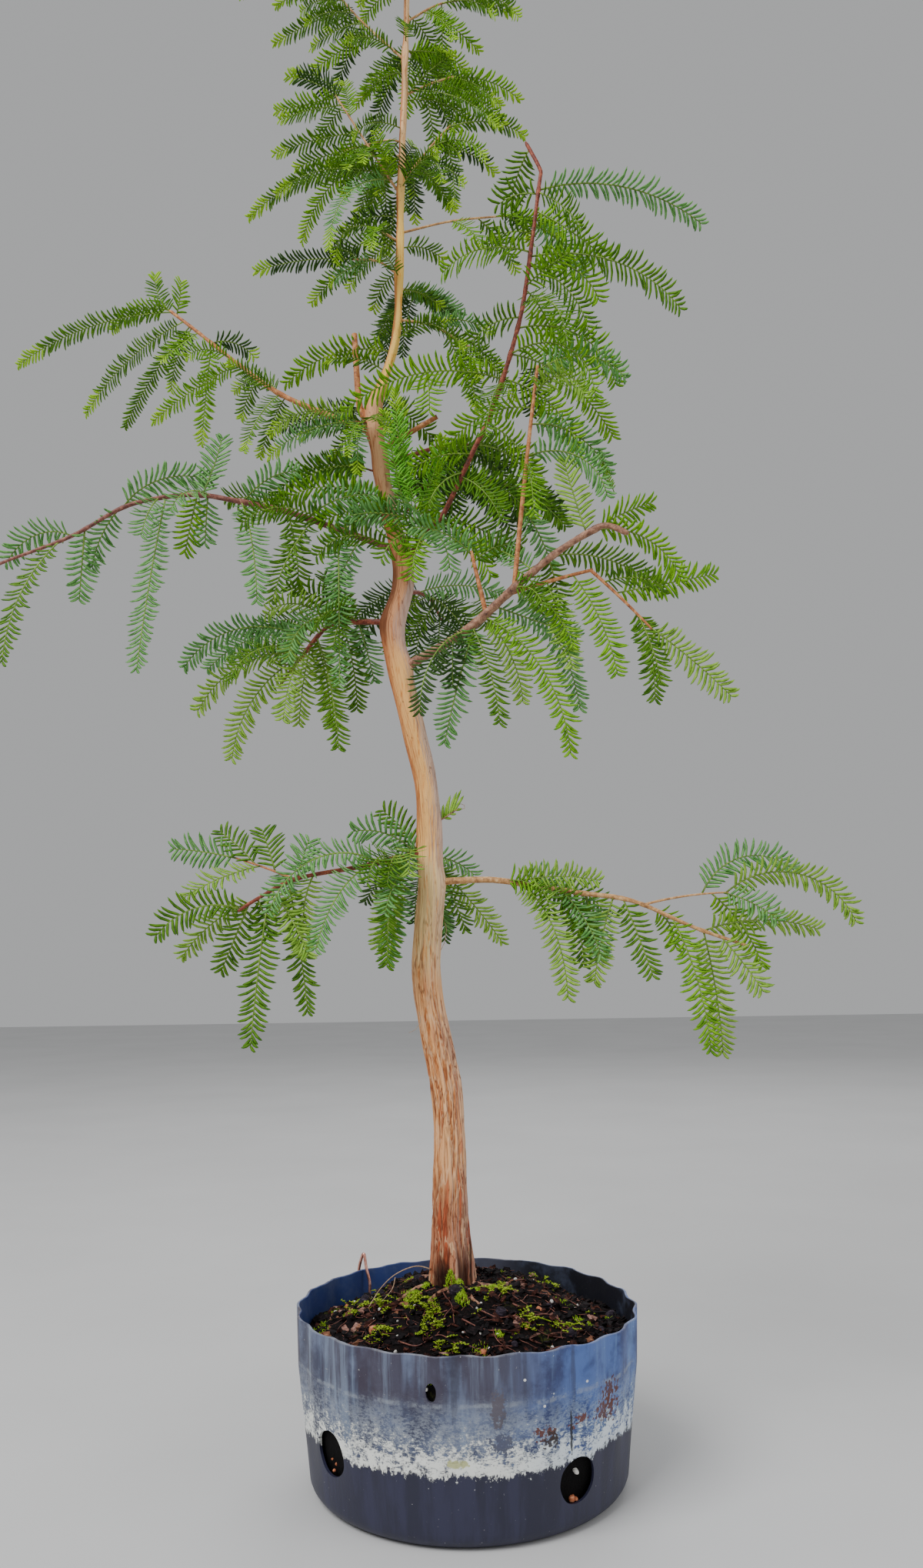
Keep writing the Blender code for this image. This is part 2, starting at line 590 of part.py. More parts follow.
def make_wire(collection, material):
    """The copper wire over the rim: up from the soil inside, over, and a short way down outside."""
    out = heading_vector(WIRE_HEADING)
    lean = heading_vector(WIRE_HEADING + 90) * WIRE_LEAN
    thick = WIRE_DIAMETER / 2
    inside = RIM_RADIUS - CAN_WALL - FLUTE_DEPTH - thick - GAP
    outside = RIM_RADIUS + FLUTE_DEPTH + thick + GAP
    points = [
        out * WIRE_FOOT + UP * (soil_height(WIRE_FOOT) + thick + GAP),
        out * (WIRE_FOOT + 1 * MM) - lean * 0.5 + UP * (CAN_HEIGHT - 9 * MM),
        out * inside + UP * (CAN_HEIGHT + 2 * MM),
        out * (inside + 4 * MM) + UP * (CAN_HEIGHT + WIRE_RISE),
        out * outside + lean + UP * (CAN_HEIGHT + 2 * MM),
        out * outside + lean * 1.5 + UP * (CAN_HEIGHT - WIRE_DROP),
    ]
    line = smooth(points, 16)
    return tube("rim_wire", line, [WIRE_DIAMETER / 2] * len(line), collection, material, 1)


def make_trunk(name, collection, material, swell=0.0):
    """The trunk and its leader as one tapering tube, with ridges running into the roots."""
    bottom, top = TRUNK[0][0] * MM, TRUNK[-1][0] * MM
    heights = [bottom, bottom + 5 * MM, bottom + 11 * MM]
    count = round((top - heights[-1]) / TRUNK_STEP)
    heights += [heights[-1] + (top - heights[-1]) * (k + 1) / count for k in range(count)]
    spots = [trunk_at(z) for z in heights]
    for low in (1, 0):
        spots[low] = (Vector((spots[2][0].x, spots[2][0].y, heights[low])), spots[low][1])
    if swell:
        spots = [(place, radius + swell) for place, radius in spots]
        spots.insert(0, (spots[0][0] - UP * 20 * MM, spots[0][1]))
        spots.append((spots[-1][0] + UP * swell, spots[-1][1]))
    trunk = tube(name, [p for p, r in spots], [r for p, r in spots], collection, material, 4)
    centre = spots[0][0]
    for vertex in trunk.data.vertices:
        high = (vertex.co.z - bottom) / FLARE_HEIGHT
        if high > 1.0:
            continue
        away = Vector((vertex.co.x - centre.x, vertex.co.y - centre.y, 0.0))
        if away.length < 1 * MM:
            continue
        angle = math.atan2(away.y, away.x)
        ridge = math.cos(FLARE_ROOTS * angle + 0.8) * (1 - max(0.0, high)) ** 1.5
        vertex.co += away.normalized() * FLARE_DEPTH * ridge
    return trunk


def make_stub(row, cutter, collection, material):
    """A pruned stub, cut square at its end, that stands on the trunk."""
    name, height, heading, (thick, thin), steps = row
    foot = trunk_at(height * MM)[0]
    out = heading_vector(heading)
    route = Route([foot + (out * run + UP * rise) * MM for run, rise in steps])
    marks = route.marks_between(0.0, route.length, STUB_STEP)
    points = [route.at(mark) for mark in marks]
    radii = [(thick + (thin - thick) * mark / route.length) / 2 * MM for mark in marks]
    stub = tube(name + "_whole", points, radii, collection, None, 2)
    return boolean(stub, "DIFFERENCE", cutter, name, collection, material)


def limb_radii(limb, marks, whole):
    """Radius at each distance along a limb that tapers from one end to the other."""
    thick, thin = limb.thick
    return [(thick + (thin - thick) * min(1.0, mark / whole) ** 0.8) / 2 * MM for mark in marks]


def make_bough(limb, cutter, collection, material):
    """The bare first stretch of a limb, seated on the trunk and cut square where its mass begins."""
    route = limb_route(limb)
    end = limb.bare * MM
    marks = route.marks_between(0.0, end, BOUGH_STEP)
    marks.insert(-1, end - JOINT_LENGTH)
    points = [route.at(mark) for mark in marks]
    name = "bough_" + limb.name
    bough = tube(name + "_whole", points, limb_radii(limb, marks, route.length), collection, None, 1)
    return boolean(bough, "DIFFERENCE", cutter, name, collection, material)


def spray_pieces(name, stem, bare, shoots, radius, rng, home, taken):
    """Put the blades of the shoots in home, and go on into the twigs that carry shoots.

    The stem is the line that was really drawn, and it starts at the distance bare along its limb.
    """
    for k, shoot in enumerate(shoots):
        start = stem.at(shoot[0] * MM - bare)
        label = f"{name}_{k}"
        route = shoot_route(start, shoot)
        if len(shoot) > 5:
            points = [route.at(mark) for mark in route.marks_between(0.0, route.length, TWIG_STEP)]
            radii = [radius * (1.0 - 0.35 * i / (len(points) - 1)) for i in range(len(points))]
            twig(label, points, radii, home)
            spray_pieces(label, Route(points, False), 0.0, shoot[5], radius * 0.7, rng, home, taken)
            continue
        side_of = flat_side(shoot[1], shoot[2] - shoot[4] * 0.5, rng)
        for turn in (0, 9, -9, 18, -18, 30, -30):
            nudged = (shoot[0], shoot[1] + turn) + tuple(shoot[2:])
            piece = blade(label, shoot_route(start, nudged), side_of, home)
            tree = surface(piece)
            if not any(tree.overlap(other) for other in taken):
                break
            bpy.data.objects.remove(piece)
        else:
            print("skipped", label)


def make_mass(limb, cutter, taken, collection, material):
    """A mass of foliage: one stem that grows on from the bough or the trunk, with its sprays."""
    rng = random.Random(SEED + limb.height + len(limb.name))
    home = bpy.data.collections.new(limb.name + "_sprays")
    bpy.context.scene.collection.children.link(home)
    route = limb_route(limb)
    start = limb.bare * MM + GAP if limb.bare else 0.0
    marks = route.marks_between(start, route.length, STEM_STEP)
    if limb.bare:
        marks.insert(1, start + JOINT_LENGTH)
    points = [route.at(mark) for mark in marks]
    radii = limb_radii(limb, marks, route.length)
    stem = tube(limb.name + "_stem", points, radii, collection, None, 1 if limb.bare else 0)
    if not limb.bare:
        stem = boolean(stem, "DIFFERENCE", cutter, limb.name + "_seated", collection, None)
    drawn = Route(points, False)
    spray_pieces(limb.name, drawn, start, limb_shoots(limb), radii[-1] * 0.9, rng, home, taken)
    return join_mass(stem, home, "mass_" + limb.name, collection, material)


def make_tip(taken, collection, material):
    """The growing tip: a thin stem on top of the trunk with shoots in a spiral round it."""
    rng = random.Random(SEED)
    home = bpy.data.collections.new("tip_sprays")
    bpy.context.scene.collection.children.link(home)
    foot, radius = trunk_at(TRUNK[-1][0] * MM)
    foot += UP * GAP
    route = Route([foot, foot + (heading_vector(40) * 4 + UP * TIP_LENGTH) * MM])
    points = [route.at(mark) for mark in route.marks_between(0.0, route.length, STEM_STEP)]
    radii = [radius * (1 - 0.5 * k / (len(points) - 1)) for k in range(len(points))]
    stem = tube("tip_stem", points, radii, collection, None, 0)
    shoots = []
    for k in range(TIP_SHOOTS):
        share = (k + 0.5) / TIP_SHOOTS
        shoots.append((10 + (TIP_LENGTH - 12) * share, 20 + GOLDEN_ANGLE * k, 25 + 35 * share,
                       88 - 42 * share, 75 - 40 * share))
    shoots.append((TIP_LENGTH - 4, 150, 80, 42, 15))
    spray_pieces("tip", route, 0.0, shoots, radius * 0.5, rng, home, taken)
    return join_mass(stem, home, "mass_tip", collection, material)


def keep_one_body(obj):
    """Keep only the largest closed surface: a hollow that fusing sealed is filled, a scrap dropped.

    The faces are made triangles first, as a flat sliver can hide a second surface.
    """
    solid = bmesh.new()
    solid.from_mesh(obj.data)
    bmesh.ops.triangulate(solid, faces=solid.faces)
    waiting = set(solid.faces)
    shells = []
    for first in solid.faces:
        if first not in waiting:
            continue
        waiting.discard(first)
        shell = [first]
        for face in shell:
            beside = [other for edge in face.edges if len(edge.link_faces) == 2
                      for other in edge.link_faces if other in waiting]
            waiting.difference_update(beside)
            shell.extend(dict.fromkeys(beside))
        shells.append(shell)
    shells.sort(key=len)
    spare = [face for shell in shells[:-1] for face in shell]
    bmesh.ops.delete(solid, geom=spare, context="FACES")
    solid.to_mesh(obj.data)
    solid.free()


def join_mass(stem, home, name, collection, material):
    """Fuse the stem and everything in home into one solid, and remove what it was made from."""
    mass = boolean(stem, "UNION", home, name, collection, material)
    keep_one_body(mass)
    for piece in list(home.objects):
        bpy.data.objects.remove(piece)
    bpy.data.collections.remove(home)
    return mass


def main():
    for obj in list(bpy.data.objects):
        bpy.data.objects.remove(obj)
    tree = bpy.data.collections.new("bald_cypress_bonsai")
    cutters = bpy.data.collections.new("cutters")
    for collection in (tree, cutters):
        bpy.context.scene.collection.children.link(collection)
    bark = shader("bark", (0.42, 0.22, 0.13), 0.85)
    twig_bark = shader("twig_bark", (0.45, 0.20, 0.09), 0.6)
    needles = shader("needles", (0.10, 0.28, 0.05), 0.5)
    plastic = shader("pot_plastic", (0.06, 0.06, 0.09), 0.55)
    earth = shader("soil_mix", (0.03, 0.02, 0.015), 0.95)
    copper = shader("copper", (0.75, 0.42, 0.32), 0.35, 1.0)

    make_can(tree, cutters, plastic)
    make_soil(tree, earth)
    make_wire(tree, copper)
    trunk = make_trunk("trunk", tree, bark)
    cutter = make_trunk("trunk_cutter", cutters, None, GAP)
    cutter.hide_render = True
    cutter.display_type = "WIRE"
    limbs = [trunk]
    limbs += [make_stub(row, cutter, tree, twig_bark) for row in STUBS]
    limbs += [make_bough(limb, cutter, tree, twig_bark) for limb in LIMBS if limb.bare]
    taken = [surface(obj) for obj in limbs]
    for limb in LIMBS:
        taken.append(surface(make_mass(limb, cutter, taken, tree, needles)))
    make_tip(taken, tree, needles)
    for obj in tree.objects:
        obj.data.shade_smooth()
        obj.data.set_sharp_from_angle(angle=math.radians(35))


if __name__ == "__main__":
    main()
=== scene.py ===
# %% [markdown]
# A bald cypress grown as a tall, slender bonsai, in the low pot that somebody cut from a nursery can.
# The solids of the tree are the skeleton: this lesson grows the bark, the twigs and every needle on
# the same lines, so that each piece sits where its solid is. Work is in metres, +Z up, and the tree's
# own sizes are written in millimetres and degrees, as a grower would read them off.

# %% Load the frame
import math
import random

import bmesh
import bpy
import numpy as np
from mathutils import Matrix, Vector, noise


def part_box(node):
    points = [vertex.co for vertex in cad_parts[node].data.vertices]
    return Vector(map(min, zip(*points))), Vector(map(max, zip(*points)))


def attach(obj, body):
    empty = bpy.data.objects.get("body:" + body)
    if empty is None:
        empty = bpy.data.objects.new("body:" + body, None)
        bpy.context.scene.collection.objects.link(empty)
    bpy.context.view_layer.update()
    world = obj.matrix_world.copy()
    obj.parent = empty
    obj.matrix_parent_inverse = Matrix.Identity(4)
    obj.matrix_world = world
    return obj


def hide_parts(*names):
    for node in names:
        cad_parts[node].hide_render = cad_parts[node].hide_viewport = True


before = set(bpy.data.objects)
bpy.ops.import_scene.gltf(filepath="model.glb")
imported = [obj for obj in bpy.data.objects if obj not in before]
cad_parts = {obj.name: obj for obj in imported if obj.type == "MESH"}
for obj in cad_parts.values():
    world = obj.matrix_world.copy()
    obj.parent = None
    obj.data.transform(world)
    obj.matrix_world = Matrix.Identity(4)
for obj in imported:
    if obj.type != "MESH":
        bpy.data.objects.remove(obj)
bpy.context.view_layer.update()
MM = 0.001
UP = Vector((0.0, 0.0, 1.0))
VIEWER = Vector((0.0, -1.0, 0.0))
OPEN_SIDE = Vector((0.0, -1.0, 0.42))

# %% [markdown]
# The camera comes first, because every later choice is judged through it. The pot's rim and foot are
# two circles of known size, and they fix where the camera stood, how far it looked up and its slight
# roll. A long-side field of view is written as a focal length in picture heights, which holds at any
# size of render.

# %% Camera
CAMERA_PLACE = Vector((0.00179, -1.03162, 0.41727))
CAMERA_RISE = math.radians(8.378)
CAMERA_ROLL = math.radians(-0.849)
FOCAL_IN_HEIGHTS = 1530 / 2038
SENSOR = 36.0

camera_data = bpy.data.cameras.new("portrait_camera")
camera_data.sensor_width = SENSOR
camera_data.lens = SENSOR * FOCAL_IN_HEIGHTS
camera_data.clip_start = 0.02
camera = bpy.data.objects.new("portrait_camera", camera_data)
bpy.context.scene.collection.objects.link(camera)
ahead = Vector((0.0, math.cos(CAMERA_RISE), math.sin(CAMERA_RISE)))
level_right = Vector((1.0, 0.0, 0.0))
level_up = level_right.cross(ahead)
right = level_right * math.cos(CAMERA_ROLL) + level_up * math.sin(CAMERA_ROLL)
above = level_up * math.cos(CAMERA_ROLL) - level_right * math.sin(CAMERA_ROLL)
turned = Matrix((right, above, -ahead)).transposed()
camera.matrix_world = Matrix.Translation(CAMERA_PLACE) @ turned.to_4x4()
bpy.context.scene.camera = camera
print("camera lens", round(camera_data.lens, 2), "mm")

# %% [markdown]
# Soft daylight from an overcast sky is one very large light with little direction. A pale world gives
# that, and two broad panels add the gentle modelling that a cloudy sky still has: a brighter one high
# on the left, and a weak one on the right that keeps the far side of the trunk readable.

# %% Light and floor
PALE = (0.86, 0.87, 0.88)
world = bpy.data.worlds.new("overcast")
bpy.context.scene.world = world
world.use_nodes = True
world.node_tree.nodes["Background"].inputs["Color"].default_value = (*PALE, 1.0)
world.node_tree.nodes["Background"].inputs["Strength"].default_value = 0.50


def soft_panel(name, place, target, size, power):
    """A square area light at place that faces target."""
    data = bpy.data.lights.new(name, "AREA")
    data.size = size
    data.energy = power
    lamp = bpy.data.objects.new(name, data)
    bpy.context.scene.collection.objects.link(lamp)
    lamp.location = place
    lamp.rotation_euler = (Vector(target) - Vector(place)).to_track_quat("-Z", "Y").to_euler()
    return lamp


MID_TREE = (0.0, 0.0, 0.75)
soft_panel("sky_left", (-1.5, -1.6, 2.7), MID_TREE, 1.8, 92.0)
soft_panel("sky_right", (2.1, -1.2, 1.4), MID_TREE, 1.6, 18.0)
soft_panel("sky_behind", (0.6, 2.4, 2.6), MID_TREE, 1.8, 26.0)

# %% [markdown]
# Shader maths reads best as arithmetic. A small class wraps a socket, and each operator on it adds
# one Math node, so that a mask can be written as `streaks * (1 - crust)`. Colours and vectors go
# through Mix and Vector Math instead, because a Math node would turn a colour grey.

# %% Shader helpers
DULL = 0.2


class Value:
    """A socket in a sum. Every operator adds a Math node to the same finish."""

    def __init__(self, finish, socket):
        self.finish = finish
        self.socket = socket

    def maths(self, operation, first, second=None):
        settings = {"operation": operation}
        sockets = {0: first}
        if second is not None:
            sockets[1] = second
        return self.finish.node("ShaderNodeMath", settings, sockets)

    def __add__(self, other):
        return self.maths("ADD", self, other)

    def __radd__(self, other):
        return self.maths("ADD", other, self)

    def __sub__(self, other):
        return self.maths("SUBTRACT", self, other)

    def __rsub__(self, other):
        return self.maths("SUBTRACT", other, self)

    def __mul__(self, other):
        return self.maths("MULTIPLY", self, other)

    def __rmul__(self, other):
        return self.maths("MULTIPLY", other, self)

    def __pow__(self, other):
        return self.maths("POWER", self, other)

    def __abs__(self):
        return self.maths("ABSOLUTE", self)

    def band(self, low, high):
        """0 below low, 1 above high and a soft step between."""
        settings = {"interpolation_type": "SMOOTHSTEP"}
        return self.finish.node("ShaderNodeMapRange", settings, {0: self, 1: low, 2: high})


class Finish:
    """A material under construction, with one method that adds any node."""

    def __init__(self, name, roughness=0.6, metallic=0.0, shine=0.5):
        self.material = bpy.data.materials.new(name)
        self.material.use_nodes = True
        self.tree = self.material.node_tree
        self.skin = self.tree.nodes["Principled BSDF"]
        self.skin.inputs["Roughness"].default_value = roughness
        self.skin.inputs["Metallic"].default_value = metallic
        self.skin.inputs["Specular IOR Level"].default_value = shine
        self.place = self.node("ShaderNodeTexCoord", output="Object")

    def feed(self, socket, value):
        """Give a socket a link or a plain value."""
        if isinstance(value, Value):
            self.tree.links.new(value.socket, socket)
        elif isinstance(value, tuple) and len(value) == 3 and len(socket.default_value) == 4:
            socket.default_value = (*value, 1.0)
        else:
            socket.default_value = value

    def node(self, kind, settings=None, sockets=None, output=0):
        """Add a node: its settings first, then the values or links of its sockets."""
        made = self.tree.nodes.new(kind)
        for key, value in (settings or {}).items():
            if key == "stops":
                self.set_stops(made.color_ramp.elements, value)
            else:
                setattr(made, key, value)
        for key, value in (sockets or {}).items():
            self.feed(made.inputs[key], value)
        return Value(self, made.outputs[output])

    def set_stops(self, elements, stops):
        while len(elements) < len(stops):
            elements.new(1.0)
        for element, (position, color) in zip(elements, stops):
            element.position = position
            element.color = (*color, 1.0)

    def ramp(self, value, stops):
        return self.node("ShaderNodeValToRGB", {"stops": stops}, {0: value}, "Color")

    def mix(self, share, first, second):
        """From the first colour to the second as share goes from 0 to 1."""
        return self.node("ShaderNodeMix", {"data_type": "RGBA"}, {0: share, 6: first, 7: second}, 2)

    def stretched(self, scale):
        """The place on the object, stretched along each axis."""
        return self.node("ShaderNodeMapping", {}, {"Vector": self.place, "Scale": scale})

    def noise(self, scale, detail=4.0, stretch=(1.0, 1.0, 1.0), roughness=0.55):
        sockets = {"Vector": self.stretched(stretch), "Scale": scale, "Detail": detail,
                   "Roughness": roughness}
        return self.node("ShaderNodeTexNoise", {}, sockets, 0)

    def axis(self, name):
        """One coordinate of the place on the object, in metres."""
        return self.node("ShaderNodeSeparateXYZ", {}, {0: self.place}, name)

    def set(self, socket, value):
        self.feed(self.skin.inputs[socket], value)
        return self

    def bump(self, height, distance, strength=1.0):
        """Raise the surface by a height from 0 to 1, as deep as distance."""
        sockets = {"Height": height, "Distance": distance, "Strength": strength}
        return self.set("Normal", self.node("ShaderNodeBump", {}, sockets))


def tint(red, green, blue):
    """A colour written as it looks on a screen, from 0 to 255, as linear light."""
    return tuple(((part / 255 + 0.055) / 1.055) ** 2.4 for part in (red, green, blue))


floor_finish = Finish("pale_floor", 0.9)
floor_finish.set("Base Color", floor_finish.ramp(floor_finish.noise(3.0), [
    (0.3, (0.60, 0.60, 0.60)),
    (0.7, (0.64, 0.64, 0.64)),
]))
bpy.ops.mesh.primitive_plane_add(size=14.0, location=(0.0, 0.0, -0.0005))
floor = bpy.context.object
floor.name = "floor"
floor.data.materials.append(floor_finish.material)

# %% [markdown]
# Every plant piece is a large number of small shapes. Calling Blender's operators for each would take
# minutes, so a small store gathers points and faces as number arrays and makes one mesh at the end.
# Tubes, needles and chips all go through it, and one store is one piece.

# %% Mesh store
ROOT = "root"
made_pieces = []


class Store:
    """Points and faces that become one mesh."""

    def __init__(self):
        self.points = []
        self.faces = []
        self.count = 0
        self.nodes = set()

    def add(self, points, faces):
        points = np.asarray(points, float).reshape(-1, 3)
        self.points.append(points)
        self.faces.extend((np.asarray(faces) + self.count).tolist())
        self.count += len(points)

    def piece(self, name, finish, slot, nodes=(), smooth=True):
        """Make the object, ride it on the body and say which solids it stands for."""
        mesh = bpy.data.meshes.new(name)
        mesh.from_pydata(np.concatenate(self.points).tolist(), [], self.faces)
        mesh.materials.append(finish.material)
        if smooth:
            mesh.shade_smooth()
        obj = bpy.data.objects.new(name, mesh)
        bpy.context.scene.collection.objects.link(obj)
        return dress(obj, tuple(nodes) + tuple(sorted(self.nodes)))


def dress(obj, nodes=()):
    """Fix a finished piece to the body and the solids it stands for."""
    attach(obj, ROOT)
    if nodes:
        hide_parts(*nodes)
    faces = sum(len(face.vertices) - 2 for face in obj.data.polygons)
    made_pieces.append((obj.name, faces))
    print(f"{obj.name}: {faces} triangles")
    return obj


def ring_frames(points):
    """Two directions across a line at each of its points, which turn as little as they can."""
    points = np.asarray(points, float)
    along = np.gradient(points, axis=0)
    along /= np.linalg.norm(along, axis=1)[:, None]
    start = Vector(along[0]).orthogonal().normalized()
    first = np.empty_like(points)
    last = np.array(start)
    for k, way in enumerate(along):
        last = last - way * (last @ way)
        last = last / np.linalg.norm(last)
        first[k] = last
    return along, first, np.cross(along, first)


def tube_rings(points, radii, sides):
    """The points of a tube as an array of rings."""
    along, first, second = ring_frames(points)
    angles = np.arange(sides) * math.tau / sides
    circle = np.cos(angles)[None, :, None] * first[:, None] + np.sin(angles)[None, :, None] * second[:, None]
    return np.asarray(points, float)[:, None] + circle * np.asarray(radii)[:, None, None]


def ring_faces(rings, sides):
    """The four-sided faces between neighbouring rings."""
    row = np.arange(rings - 1)[:, None] * sides
    k = np.arange(sides)[None, :]
    after = (k + 1) % sides
    return np.stack([row + k, row + after, row + after + sides, row + k + sides], -1).reshape(-1, 4)


def add_rings(store, rings):
    """Add a tube made of rings, closed by a fan at both ends."""
    count, sides = rings.shape[:2]
    store.add(rings.reshape(-1, 3), ring_faces(count, sides))
    first = store.count - count * sides
    for start, turn in ((0, -1), ((count - 1) * sides, 1)):
        centre = rings.reshape(-1, 3)[start:start + sides].mean(0)
        store.points.append(centre[None])
        hub = store.count
        store.count += 1
        spots = [first + start + k for k in range(sides)][::turn]
        store.faces.extend([a, b, hub] for a, b in zip(spots, spots[1:] + spots[:1]))


def add_tube(store, points, radii, sides):
    add_rings(store, tube_rings(points, radii, sides))


# %% [markdown]
# The tree's own plan is a table, one row for a limb: where it leaves the trunk, the way it heads, how
# far it is bare, its thickness, its route as (run out, rise) pairs, and its shoots. A shoot is a flat
# spray of needles: distance along the stem, heading, pitch, length and sag. A sixth entry makes it a
# bare twig that carries shoots of its own. Headings are compass-like, 0 right and 270 to the viewer.

# %% The tree's plan
SEED = 7
TRUNK = [
    (150.3, -12, 0, 36.5), (170, -12.4, 0, 35), (190, -13.2, 1, 31.8), (210, -12.9, 2, 30),
    (245, -12.4, 3, 27.8), (290, -13.8, 5, 26.5), (320, -17.5, 6, 27.2), (350, -23.4, 7, 26),
    (380, -29, 8, 25), (410, -31.3, 7.5, 24.8), (440, -29.4, 6.5, 24.3), (470, -26.6, 5, 24.6),
    (500, -26.5, 3, 21.8), (570, -30, -2, 21), (641, -45, -6, 21.2), (705, -58, -7, 22.2),
    (750, -48.5, -4, 19.8), (787, -51, 0, 16.8), (825, -62, 4, 14.8), (893, -72, 6, 15),
    (922, -76, 5, 18), (937, -72, 4, 14), (955, -65, 3, 9), (994, -54, 1, 7.8), (1058, -50, 0, 7.3),
    (1138, -48, 1, 6.6), (1221, -45, 2, 5.9), (1305, -42, 1, 4.9), (1400, -40, 0, 4.0),
]
